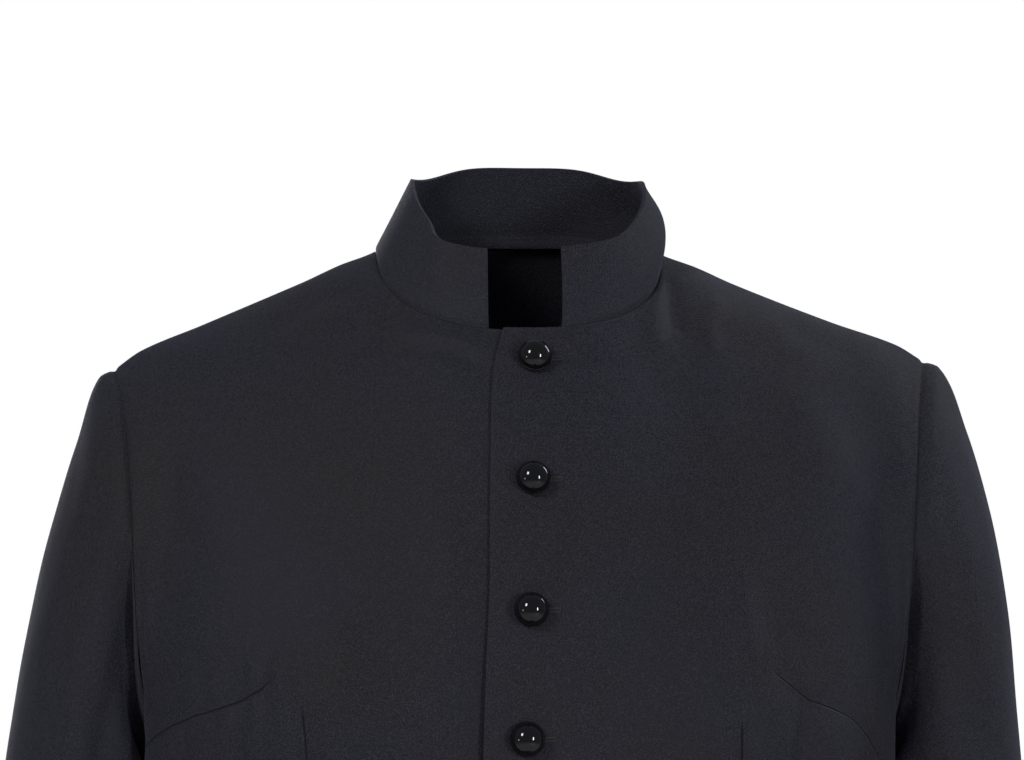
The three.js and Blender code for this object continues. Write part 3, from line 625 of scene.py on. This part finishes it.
# On a sleeve the first number is the way round from its outer side in degrees and the second the height
sleeveCreases = {
    1: table(creaseNames, [
        (28, -92, 44, -240, 4, 1, 9), (64, -120, 70, -290, -5, -1.4, 9), (-20, -110, -34, -260, 5, -1.2, 10),
        (100, -240, 84, -420, 5, 2.2, 8), (118, -250, 112, -430, -5, -2.8, 8),
        (136, -270, 128, -420, 4, 2, 8), (52, -300, 66, -460, 6, -1.8, 9), (30, -330, 34, -480, -5, 1.8, 10),
        (150, -428, 60, -470, -8, -3.2, 8), (156, -456, 70, -492, 8, 2.6, 8),
        (140, -486, 58, -512, 6, -2.8, 8), (118, -520, 44, -540, -5, 1.8, 8),
        (-60, -380, -90, -520, 6, -2.2, 10), (-110, -300, -96, -470, -6, 2.2, 10),
        (-150, -330, -130, -480, 5, -2.2, 9), (10, -480, 4, -640, 6, -1.8, 10),
        (80, -560, 92, -660, 4, -2, 9), (-40, -540, -52, -660, 4, 1.8, 10), (128, -560, 120, -660, -4, 2, 8),
        (-120, -520, -128, -650, 5, -2, 9),
    ]),
    -1: table(creaseNames, [
        (34, -96, 40, -230, -4, 1, 9), (58, -130, 66, -300, 5, -1.4, 9), (-26, -120, -30, -270, -5, -1.2, 10),
        (80, -250, 76, -440, -5, 2.6, 10), (108, -230, 104, -440, 5, -3, 9),
        (130, -260, 126, -430, -4, 1.8, 8), (50, -320, 58, -480, -6, -1.6, 9),
        (24, -340, 30, -500, 5, 1.6, 10), (148, -436, 56, -466, 8, -3, 8), (152, -462, 64, -498, -8, 2.6, 8),
        (138, -492, 52, -520, -6, -2.6, 8), (112, -530, 40, -552, 5, 1.8, 8),
        (-66, -390, -84, -530, -6, -2.2, 10), (-104, -310, -100, -480, 6, 2.2, 10),
        (-146, -320, -136, -470, -5, -2.2, 9), (6, -500, 12, -650, -6, -1.8, 10),
        (84, -570, 88, -664, -4, -2, 9), (-44, -550, -48, -662, -4, 1.8, 10), (124, -556, 126, -662, 4, 2, 8),
        (-116, -530, -122, -655, -5, -2, 9),
    ]),
}
creaseFade = 0.32        # the share of a crease over which it dies away at each end


def creaseOut(a, b, rows, wrap=None):
    total = np.zeros(a.shape)
    for a1, b1, a2, b2, bow, out, width in zip(*rows.values()):
        da, db = a - a1, b - b1
        if wrap:
            da = (da + wrap / 2) % wrap - wrap / 2
        runA, runB = a2 - a1, b2 - b1
        length = np.hypot(runA, runB)
        along = (da * runA + db * runB) / length**2
        inside = np.clip(along, 0, 1)
        across = (da * runB - db * runA) / length - bow * 4 * inside * (1 - inside)
        fade = ease((along + creaseFade / 2) / creaseFade) * ease((1 + creaseFade / 2 - along) / creaseFade)
        total += out * fade * swell(across, width)
    return total


# Darts, as lines of points (x and z) on the front or the back, and the pull beside their seams
darts = {
    "sideLeft": [
        (128, -238), (137, -245), (152, -256), (168, -261.5), (180, -267), (189, -275), (196, -286),
        (199, -300)],
    "sideRight": [
        (-137, -244), (-146, -252), (-154, -256.5), (-166, -261), (-182, -265.5), (-195, -271), (-204, -277),
        (-212, -286)],
    "waistLeft": [(114, -264), (114, -290), (108, -430), (114, -600)],
    "waistRight": [(-123.5, -257), (-120.5, -289), (-110, -430), (-116, -600)],
    "backLeft": [(92, -250), (88, -430), (98, -600)],
    "backRight": [(-92, -246), (-88, -430), (-98, -604)],
}
dartSet = {"depth": 1.1, "width": 4.5, "fade": 14}


def lineFrame(x, z, points):
    # how far each point lies aside of a line of points, and how far along it
    bestFar = np.full(np.shape(x), np.inf)
    bestAside, bestRun = bestFar, bestFar
    run = 0.0
    last = len(points) - 2
    for k, ((x1, z1), (x2, z2)) in enumerate(zip(points, points[1:])):
        length = np.hypot(x2 - x1, z2 - z1)
        ux, uz = (x2 - x1) / length, (z2 - z1) / length
        along = (x - x1) * ux + (z - z1) * uz
        aside = (x - x1) * uz - (z - z1) * ux
        over = along - np.clip(along, 0 if k else -np.inf, np.inf if k == last else length)
        far = np.hypot(aside, over)
        isNearer = far < bestFar
        bestAside = np.where(isNearer, aside, bestAside)
        bestRun = np.where(isNearer, run + along, bestRun)
        bestFar = np.where(isNearer, far, bestFar)
        run += length
    return bestAside, bestRun, run


def dartOut(p, names):
    total = 0
    for name in names:
        aside, run, length = lineFrame(p[..., 0], p[..., 2], darts[name])
        held = ease(run / dartSet["fade"]) * ease((length - run) / dartSet["fade"])
        total = total - dartSet["depth"] * held * swell(aside, dartSet["width"])
    return total


# Soft unevenness of hanging cloth, as a few long waves
def unevenness(p, size):
    x, y, z = p[..., 0], p[..., 1], p[..., 2]
    waves = (np.sin(x / 31 + z / 57 + 1.3) * np.sin(z / 43 - y / 39)
             + 0.7 * np.sin(x / 19 - z / 71 + y / 23 + 4.1) * np.sin(z / 27 + x / 83 + 0.6)
             + 0.4 * np.sin(x / 12.5 + y / 14 + z / 33 + 2.2) * np.sin(z / 15.5 - x / 40))
    return size * waves


# Making cloth from a grid of points
clothWall = 1.3


def outwardOf(p, isTube=False):
    if isTube:
        ring = np.concatenate([p[:, -2:-1], p, p[:, 1:2]], 1)
        along = ring[:, 2:] - ring[:, :-2]
    else:
        along = np.gradient(p, axis=1)
    return unit(np.cross(np.gradient(p, axis=0), along))


def edgeRuns(p):
    # how far each point lies from the four edges, measured in the cloth
    across, down = running(stepLengths(p, 1), 1), running(stepLengths(p, 0), 0)
    return {"start": across, "stop": across[:, -1:] - across, "top": down, "hem": down[-1:] - down}


def sewnEdge(run, depth, width):
    # the cloth turns in where it is sewn, so two pieces meet in a fine groove
    return -depth * (1 - ease(run / width))


def makeCloth(name, p, uv, extra, wall, material, isTube=False):
    rows, columns = p.shape[:2]
    bm = bmesh.new()
    bmesh.ops.create_grid(bm, x_segments=columns - 1, y_segments=rows - 1, size=1, calc_uvs=True)
    bm.verts.ensure_lookup_table()
    for vert, place in zip(bm.verts, (p * mm).reshape(-1, 3)):
        vert.co = place
    layer = bm.loops.layers.uv.active or bm.loops.layers.uv.new("UVMap")
    uvFlat = uv.reshape(-1, 2)
    for face in bm.faces:
        for loop in face.loops:
            loop[layer].uv = uvFlat[loop.vert.index]
    for label, values in extra.items():
        attribute = bm.verts.layers.float_vector.new(label)
        for vert, value in zip(bm.verts, values.reshape(-1, 3)):
            vert[attribute] = value
    if isTube:
        bmesh.ops.remove_doubles(bm, verts=bm.verts, dist=1e-6)
    bm.normal_update()
    # faces look away from the middle of the sleeve, or of the robe
    midX, midY, _ = (p * mm).mean((0, 1)) if isTube else (0, 0, 0)
    spots = [(f.normal, f.calc_center_median()) for f in list(bm.faces)[::37]]
    if sum(way.x * (spot.x - midX) + way.y * (spot.y - midY) for way, spot in spots) < 0:
        bmesh.ops.reverse_faces(bm, faces=bm.faces)
    piece = meshObject(name, bm, material)
    setAll(piece.modifiers.new("wall", "SOLIDIFY"), thickness=wall * mm, offset=-1, use_quality_normals=True)
    setAll(piece.modifiers.new("turnedEdge", "BEVEL"), width=0.42 * wall * mm, segments=3,
           limit_method="ANGLE", angle_limit=np.radians(55))
    return piece


def clothUv(p, centreColumn):
    # the grain of the cloth: across from a column, and up from the hem, in metres
    runs = edgeRuns(p)
    across = runs["start"] - runs["start"][:, centreColumn:centreColumn + 1]
    return np.stack([across, runs["hem"]], -1) * mm


def bodyUv(p, normal, centreColumn, isFront):
    # the grain of a body panel: level round the body below, turning to run along the shoulders above
    level = np.cross([0, 0, 1], normal)
    last = len(rowUp) - 1
    turned = (rowUp ** 2)[:, None, None]
    level[:last + 1] = mix(level[last], np.array([1 if isFront else -1, 0, 0]), turned)
    level -= normal * (level * normal).sum(-1, keepdims=True)
    level = unit(level)

    def summed(direction):
        acrossStep = (np.diff(p, axis=1) * (direction[:, 1:] + direction[:, :-1]) / 2).sum(-1)
        across = running(acrossStep, 1)
        way = direction[:, centreColumn]
        down = (np.diff(p[:, centreColumn], axis=0) * (way[1:] + way[:-1]) / 2).sum(-1)
        return across - across[:, centreColumn:centreColumn + 1] + running(down, 0)[:, None]

    return np.stack([summed(level), summed(np.cross(normal, level))], -1) * mm


def sewnMarks(p, names):
    marks = {}
    for label, name in names.items():
        aside, run, length = lineFrame(p[..., 0], p[..., 2], darts[name])
        marks[label] = joined(np.clip(aside, -60, 60), run, length - run)     # further out nothing is drawn
    return marks


# Cloth, thread and button materials
clothLook = {
    "navy": (0.0098, 0.0098, 0.0215),
    # the collar's navy is lighter and bluer than the body's: painted light, a lit copy of the same cloth
    "paintedLitCollarNavy": (0.0130, 0.0150, 0.0260),
    "warm": (0.0112, 0.0102, 0.0120),
    "light": (0.0980, 0.0930, 0.1100),   # painted highlight: the raised threads of the twill drawn lighter, as where they would catch light
    "twillPitch": 1.25,
    "threadPitch": 0.95,
    "grain": 1300,                       # how fine the threads' own unevenness is
    "roughness": 0.58,
    "sheen": 0.17,
    # painted shade in the darts' sewn grooves
    "paintedDartShade": (0.0015, 0.0015, 0.002),
}


def mathNode(tree, kind, *values):
    return addNode(tree, "Math", dict(enumerate(values)), operation=kind)


def smoothStep(tree, value, low, high):
    inputs = {"Value": value, "From Min": low, "From Max": high}
    return addNode(tree, "MapRange", inputs, "Result", interpolation_type="SMOOTHSTEP")


def bandWave(tree, coords, degrees, pitch, distortion):
    # bands of a pitch in millimetres, over coordinates in metres; the wave has one band in 2 pi / 20
    turned = addNode(tree, "Mapping", {
        "Vector": coords, "Rotation": (0, 0, np.radians(degrees)), "Scale": (1000, 1000, 1000)})
    return addNode(tree, "TexWave", {
        "Vector": turned, "Scale": 2 * np.pi / 20 / pitch, "Distortion": distortion, "Detail": 1,
        "Detail Scale": 1.4}, "Fac")


def noiseOf(tree, coords, scale, detail):
    return addNode(tree, "TexNoise", {"Vector": coords, "Scale": scale, "Detail": detail}, "Fac")


def mixColour(tree, amount, a, b):
    return addNode(tree, "Mix", {0: amount, 6: a, 7: b}, 2, data_type="RGBA")


def finishLook(tree, shader, height, strength, distance, inputs):
    relief = addNode(tree, "Bump", {"Height": height, "Strength": strength, "Distance": distance})
    feed(tree, shader, {"Normal": relief, **inputs})


def makeTwill(name, dartNames, navy, cast=0.0):
    # fine twill: raised diagonal threads with a painted highlight in a lighter colour, a cast between navy
    # and warm black, and sewn lines at the darts painted dark as the shade in their grooves
    look = clothLook
    material, tree, shader = newMaterial(name)
    times = lambda a, b: mathNode(tree, "MULTIPLY", a, b)
    coords = addNode(tree, "TexCoord", {}).node.outputs
    uv, place = coords["UV"], coords["Object"]
    twill = bandWave(tree, uv, 45, look["twillPitch"], 0.9)
    thread = bandWave(tree, uv, -38, look["threadPitch"], 1.2)
    grain = smoothStep(tree, noiseOf(tree, place, look["grain"], 2), 0.38, 0.68)
    weave = times(twill, mathNode(tree, "MULTIPLY_ADD", thread, 0.55, 0.45))
    weave = times(grain, mathNode(tree, "MULTIPLY_ADD", weave, 0.75, 0.45))
    patch = noiseOf(tree, place, 9, 3)
    tone = smoothStep(tree, mathNode(tree, "ADD", patch, cast), 0.38, 0.66)
    ground = mixColour(tree, tone, navy, look["warm"])
    # painted highlight: the raised threads are drawn in the lighter colour wherever they lie, whatever the
    # light
    colour = mixColour(tree, times(weave, 0.5), ground, look["light"])
    height = weave
    for dart in dartNames:
        mark = addNode(tree, "Attribute", {}, "Vector", attribute_name=dart)
        parts = addNode(tree, "SeparateXYZ", {0: mark}).node.outputs
        aside = smoothStep(tree, mathNode(tree, "ABSOLUTE", parts["X"]), 0.15, 0.7)
        begun, lasting = smoothStep(tree, parts["Y"], 0, 12), smoothStep(tree, parts["Z"], 0, 5)
        line = times(mathNode(tree, "SUBTRACT", 1.0, aside), times(begun, lasting))
        # the dart's line is painted dark as the shade in its groove; the bump below sinks the groove itself
        colour = mixColour(tree, times(line, 0.9), colour, look["paintedDartShade"])
        height = mathNode(tree, "SUBTRACT", height, times(line, 3.0))
    finishLook(tree, shader, height, 0.8, 0.00035, {
        "Base Color": colour,
        "Roughness": mathNode(tree, "MULTIPLY_ADD", patch, 0.16, look["roughness"] - 0.08),
        "Specular IOR Level": 0.32,
        "Sheen Weight": look["sheen"],
        "Sheen Roughness": 0.42,
        "Sheen Tint": (0.80, 0.84, 1.0),
    })
    return material


def makeGlossPlastic():
    material, tree, shader = newMaterial("glossBlackButton")
    haze = noiseOf(tree, addNode(tree, "TexCoord", {}, "Object"), 260, 3)
    finishLook(tree, shader, haze, 0.06, 0.0003, {
        "Base Color": mixColour(tree, haze, (0.0010, 0.0010, 0.0013), (0.0018, 0.0018, 0.0022)),
        "Roughness": mathNode(tree, "MULTIPLY_ADD", haze, 0.05, 0.035),
        "IOR": 1.5,
        "Coat Weight": 0.45,
        "Coat Roughness": 0.03,
    })
    return material


def makeThread():
    material, tree, shader = newMaterial("blackThread")
    strand = bandWave(tree, addNode(tree, "TexCoord", {}, "UV"), 24, 0.42, 0.5)
    finishLook(tree, shader, strand, 0.8, 0.0002, {
        "Base Color": mixColour(tree, strand, (0.010, 0.010, 0.013), (0.060, 0.058, 0.064)),
        "Roughness": 0.5,
        "Sheen Weight": 0.2,
    })
    return material


# The fronts and the back
seamFall = {"depth": 1.15, "width": 3.4}     # how a sewn edge turns in
freeFall = {"depth": 0.7, "width": 1.8}      # how a folded edge rounds off
flatFall = {"depth": 0.5, "width": 1.7}      # how a seam that is pressed flat turns in
headFall = {"depth": 1.3, "width": 2.4}      # how a sleeve's head turns in
hemTurn = {"high": 30, "stand": 0.45, "over": 6, "groove": 0.35, "grooveWidth": 2.6}
uneven = {"front": 0.45, "back": 0.5, "sleeve": 0.5, "collar": 0.22}
creaseClear = 16         # creases are gone by this far from a sewn edge
faceOut = 1.0            # the outer face lies this far outside the cut
grainColumn = 12         # the column of a front that its grain is measured from


def hemOut(fromHem):
    # the turned-up hem stands out a little, and its stitches pull a shallow groove
    past = fromHem - hemTurn["high"]
    step = hemTurn["stand"] * (1 - ease(past / hemTurn["over"] + 0.5))
    return step - hemTurn["groove"] * swell(past, hemTurn["grooveWidth"]) - hemTurn["stand"]


def faded(runs, names, over):
    # creases die away towards sewn edges, so that the pieces still meet
    amount = 1
    for name in names:
        amount = amount * ease(runs[name] / over)
    return amount


def edgesOut(runs, **falls):
    return sum(sewnEdge(runs[edge], **fall) for edge, fall in falls.items())


def topEdge(run, shares):
    # the neckline turns in under the collar, and the shoulder seam lies flat
    isShoulder = ease((abs(shares[:1]) - neckCut["share"]) / 0.03)
    return mix(sewnEdge(run, **seamFall), sewnEdge(run, **flatFall), isShoulder)


def bodyPiece(side):
    # the left front (side 1), the right front (side -1) or the back (side 0)
    isFront = side != 0
    shares = frontShares(side) if isFront else backShares()
    p = frontAt(shares, side) if isFront else panelAt(shares, False)
    normal = panelFacing(shares, isFront)
    runs = edgeRuns(p)
    labels, names, edges = {
        1: (("sideDart", "waistDart"), ("sideLeft", "waistLeft"), ("top", "stop")),
        -1: (("sideDart", "waistDart"), ("sideRight", "waistRight"), ("top", "stop")),
        0: (("leftDart", "rightDart"), ("backLeft", "backRight"), ("top", "start", "stop")),
    }[side]
    out = creaseOut(p[..., 0], p[..., 2], frontCreases if isFront else backCreases)
    out = (out + unevenness(p, uneven["front" if isFront else "back"])) * faded(runs, edges, creaseClear)
    out = out + dartOut(p, names) + faceOut + topEdge(runs["top"], shares) + hemOut(runs["hem"])
    out = out + edgesOut(runs, start=freeFall if isFront else seamFall, stop=seamFall, hem=freeFall)
    uv = bodyUv(p, normal, grainColumn if isFront else p.shape[1] // 2, isFront)
    return p, p + normal * out[..., None], uv, sewnMarks(p, dict(zip(labels, names)))


sleeveRound = 50         # a sleeve's mean radius, to measure its creases round it
headFade = {"over": 50, "under": 40}     # its creases fade in below the seam, sooner under the arm
headRoll = {1: 3.6, -1: 3.4, "rise": 8, "level": 10, "over": 34}     # its eased head stands up here
deepFold = {1: 14, -1: 12, "from": 82, "over": 36, "steep": 1.6, "wide": 12}     # it sinks in below here


def fromArmhole(p):
    # how far each point lies from the armhole, and how far round the armhole the nearest place is
    loop = p[0]
    fine = np.linspace(0, len(loop) - 1, 8 * len(loop))
    loop = np.stack([np.interp(fine, np.arange(len(p[0])), p[0][:, k]) for k in range(3)], -1)
    far = np.linalg.norm(p[:, :, None] - loop, axis=-1)
    nearest = far.argmin(-1)
    return far.min(-1), fine[nearest] * 360 / (len(p[0]) - 1)


def sleevePiece(side):
    p = sleeveAt(side)
    runs = edgeRuns(p)
    normal = outwardOf(p, isTube=True) * -side
    turn = np.broadcast_to(np.linspace(0, 360, p.shape[1])[None, :], p.shape[:2])
    scale = np.radians(1) * sleeveRound
    rows = dict(sleeveCreases[side])
    rows["x1"], rows["x2"] = rows["x1"] * scale, rows["x2"] * scale
    out = creaseOut(turn * scale, p[..., 2], rows, wrap=360 * scale) + unevenness(p, uneven["sleeve"])
    under = (1 - np.cos(np.radians(turn))) / 2
    out = out * ease((runs["top"] + headFade["under"] * under) / headFade["over"])
    fromSeam, seamTurn = fromArmhole(p)
    roll = ease(fromSeam / headRoll["rise"]) * ease(1 - (fromSeam - headRoll["level"]) / headRoll["over"])
    out = out + headRoll[side] * roll * (1 - under) ** 4
    seamTurn = np.minimum(seamTurn, 360 - seamTurn)
    sunk = ease((seamTurn - deepFold["from"]) / deepFold["over"]) * ease(fromSeam / deepFold["steep"])
    out = out - deepFold[side] * sunk * swell(fromSeam, deepFold["wide"])
    out = out + faceOut + sewnEdge(fromSeam, **headFall) + hemOut(runs["hem"]) + edgesOut(runs, hem=freeFall)
    return p + normal * out[..., None], clothUv(p, 0)


print("working out the cloth")
leftBase, *leftCloth = bodyPiece(1)
rightBase, *rightCloth = bodyPiece(-1)
backBase, *backCloth = bodyPiece(0)

frontMaterial = makeTwill("blackTwillFront", ["sideDart", "waistDart"], clothLook["navy"])
backMaterial = makeTwill("blackTwillBack", ["leftDart", "rightDart"], clothLook["navy"])
sleeveMaterial = makeTwill("blackTwillSleeve", [], clothLook["navy"])
# painted light: the collar gets the lighter, bluer navy and a cast towards navy, for the light it catches
collarMaterial = makeTwill("blackTwillCollar", [], clothLook["paintedLitCollarNavy"], cast=-0.12)
buttonMaterial = makeGlossPlastic()
threadMaterial = makeThread()

frontLeft = makeCloth("frontLeft", *leftCloth, clothWall, frontMaterial)
frontRight = makeCloth("frontRight", *rightCloth, clothWall, frontMaterial)
back = makeCloth("back", *backCloth, clothWall, backMaterial)
print("fronts and back are sewn")

sleeves = {}
for side, name in ((1, "sleeveLeft"), (-1, "sleeveRight")):
    sleeves[side] = makeCloth(name, *sleevePiece(side), {}, clothWall, sleeveMaterial, isTube=True)
print("sleeves are set in")


def collarPiece():
    c = collarCut
    p = collarAt(leftBase, rightBase, backBase)
    fromSeam = edgeRuns(p)["hem"] - c["allowance"]
    out = unevenness(p, uneven["collar"]) * ease(fromSeam / 12) + c["wall"] / 2
    out = out + sewnEdge(fromSeam, **seamFall) - c["tuck"] * ease(-fromSeam / c["tuckOver"])
    uv = clothUv(p, p.shape[1] // 2)
    return makeCloth("collar", p + outwardOf(p) * out[..., None], uv, {}, c["wall"], collarMaterial)


collar = collarPiece()
print("collar is on")


# Buttons, their shanks of thread and their buttonholes
buttonSet = {
    "count": 17, "pitch": 70.5, "radius": 9.5, "height": 11.5,
    "rimLow": 1.9, "rimHigh": 3.3, "rimIn": 0.5, "shank": 2.4, "steps": 48,
}
buttonPlaces = [(4.2, -68.4), (1.9, -136.8), (0, -208.6), (-2.8, -278.1)]    # then evenly on below
for i in range(buttonSet["count"] - len(buttonPlaces)):
    buttonPlaces.append((-2.8, -278.1 - buttonSet["pitch"] * (i + 1)))
holeSet = {"from": -2.5, "to": 16.5, "lip": 1.15, "slit": 0.35, "high": 0.55}


def clothTree(piece):
    bm = bmesh.new()
    bm.from_mesh(piece.data)
    tree = BVHTree.FromBMesh(bm)
    bm.free()
    return tree


leftTree = clothTree(frontLeft)


def onFront(x, z):
    # where the left front's outer face lies, and the way it faces
    place, facing, _, _ = leftTree.ray_cast(Vector((x * mm, -1, z * mm)), Vector((0, 1, 0)))
    return place, facing if facing.y < 0 else -facing


def addPiece(name, bm, material, nodes=()):
    bmesh.ops.recalc_face_normals(bm, faces=bm.faces)
    piece = meshObject(name, bm, material)
    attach(piece, "root")
    if nodes:
        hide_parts(*nodes)


def buttonSeat(x, z):
    # where a button sits, and the cloth's facing there, as the mean of a few places round it
    spots = [onFront(x + dx, z + dz)[1] for dx in (-8, 0, 8) for dz in (-8, 0, 8)]
    return onFront(x, z)[0], sum(spots, Vector()).normalized()


def turnFromUp(axis):
    return Vector((0, 0, 1)).rotation_difference(axis).to_matrix()


def spinUp(bm, geom, steps):
    bmesh.ops.spin(bm, geom=geom, cent=(0, 0, 0), axis=(0, 0, 1), angle=2 * np.pi, steps=steps,
                   use_merge=True)


def standOn(bm, verts, axis, place):
    bmesh.ops.transform(bm, matrix=turnFromUp(axis).to_4x4(), verts=verts)
    bmesh.ops.translate(bm, vec=place, verts=verts)


def makeButton(number, x, z):
    b = buttonSet
    place, facing = buttonSeat(x, z)
    wide, low, high = b["radius"], b["rimLow"], b["rimHigh"]
    dome = wide - b["rimIn"]
    profile = [(0, low - 0.5), (wide - 1.6, low - 0.4), (wide - 0.5, low - 0.1), (wide, low + 0.35),
               (wide, high - 0.75), (wide - 0.35, high - 0.2), (dome, high)]
    profile += [(dome * np.cos(t), high + (b["height"] - high) * np.sin(t))
                for t in np.radians(np.linspace(0, 90, 12))[1:]]
    bm = bmesh.new()
    verts = [bm.verts.new((r * mm, 0, h * mm)) for r, h in profile]
    edges = [bm.edges.new(pair) for pair in zip(verts, verts[1:])]
    spinUp(bm, verts + edges, b["steps"])
    bmesh.ops.remove_doubles(bm, verts=bm.verts, dist=1e-7)
    standOn(bm, bm.verts[:], facing, place + facing * 0.2 * mm)
    addPiece(f"button{number:02d}", bm, buttonMaterial, [f"button_{number:02d}"])


def makeRing(bm, centre, axis, radius, thick):
    # a turn of thread: a small torus round an axis
    before = set(bm.verts)
    verts = bmesh.ops.create_circle(bm, segments=8, radius=thick)["verts"]
    bmesh.ops.rotate(bm, cent=(0, 0, 0), matrix=turnFromUp(Vector((0, 1, 0))), verts=verts)
    bmesh.ops.translate(bm, vec=(radius, 0, 0), verts=verts)
    edges = list({e for v in verts for e in v.link_edges})
    spinUp(bm, verts + edges, 16)
    standOn(bm, [v for v in bm.verts if v not in before], axis, centre)


def makeShankThreads():
    bm = bmesh.new()
    for x, z in buttonPlaces:
        place, facing = buttonSeat(x, z)
        for level in (0.35, 0.95, 1.5):
            radius = buttonSet["shank"] * mm * (1 - 0.08 * level)
            makeRing(bm, place + facing * level * mm, facing, radius, 0.45 * mm)
    addPiece("shankThreads", bm, threadMaterial)


def makeButtonholes():
    # two whipped lips with a slit between them, joined round at both ends
    h = holeSet
    bm = bmesh.new()
    uvLayer = bm.loops.layers.uv.new("UVMap")
    stations, around = 44, 6
    halfLong = (h["to"] - h["from"] - h["lip"]) / 2
    middleX = (h["to"] + h["from"]) / 2
    for buttonX, z in buttonPlaces:
        rings = []
        for way in np.linspace(0, 2 * np.pi, stations, endpoint=False):
            level, high = np.cos(way), np.sin(way)
            x = buttonX + middleX + np.sign(level) * min(1, abs(level) * 1.25) * halfLong
            side = high * (h["slit"] + h["lip"]) / 2 * min(1, 2.2 * abs(high) + 0.4) / max(abs(high), 0.4)
            place, facing = onFront(x, z + side)
            upward = (Vector((0, 0, 1)) - facing * facing.z).normalized()
            inward = (upward * high - upward.cross(facing) * level * 0.25).normalized()
            ring = []
            for turn in 2 * np.pi * np.arange(around) / around:
                offset = inward * (np.cos(turn) * h["lip"] / 2) + facing * (np.sin(turn) * h["high"] + 0.1)
                ring.append(bm.verts.new(place + offset * mm))
            rings.append(ring)
        for i in range(stations):
            here, there = rings[i], rings[(i + 1) % stations]
            for k in range(around):
                face = bm.faces.new((here[k], there[k], there[(k + 1) % around], here[(k + 1) % around]))
                for loop in face.loops:
                    isThere = loop.vert in there
                    loop[uvLayer].uv = ((i + isThere) * 0.9 * mm, k * 0.4 * mm)
    addPiece("buttonholes", bm, threadMaterial)


for number, (x, z) in enumerate(buttonPlaces, 1):
    makeButton(number, x, z)
makeShankThreads()
makeButtonholes()
print("buttons and buttonholes are made")


# Where each piece of cloth belongs, and the width and length of the flat cut and its area
cuts = [
    (frontLeft, "front_left", "robe_cloth", (0.56, 1.42), 0.47, ["collar"]),
    (frontRight, "front_right", "robe_cloth", (0.56, 1.42), 0.47, ["collar"]),
    (back, "back", "robe_cloth", (1.02, 1.42), 0.86, ["collar"]),
    (sleeves[1], "sleeve_left", "robe_cloth", (0.40, 0.64), 0.165, ["frontLeft"]),
    (sleeves[-1], "sleeve_right", "robe_cloth", (0.40, 0.64), 0.165, ["frontRight"]),
    (collar, "collar", "collar_cloth", (0.42, 0.05), 0.0205, ["back"]),
]
for piece, node, slot, flat, area, rests in cuts:
    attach(piece, "root")
    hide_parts(node)
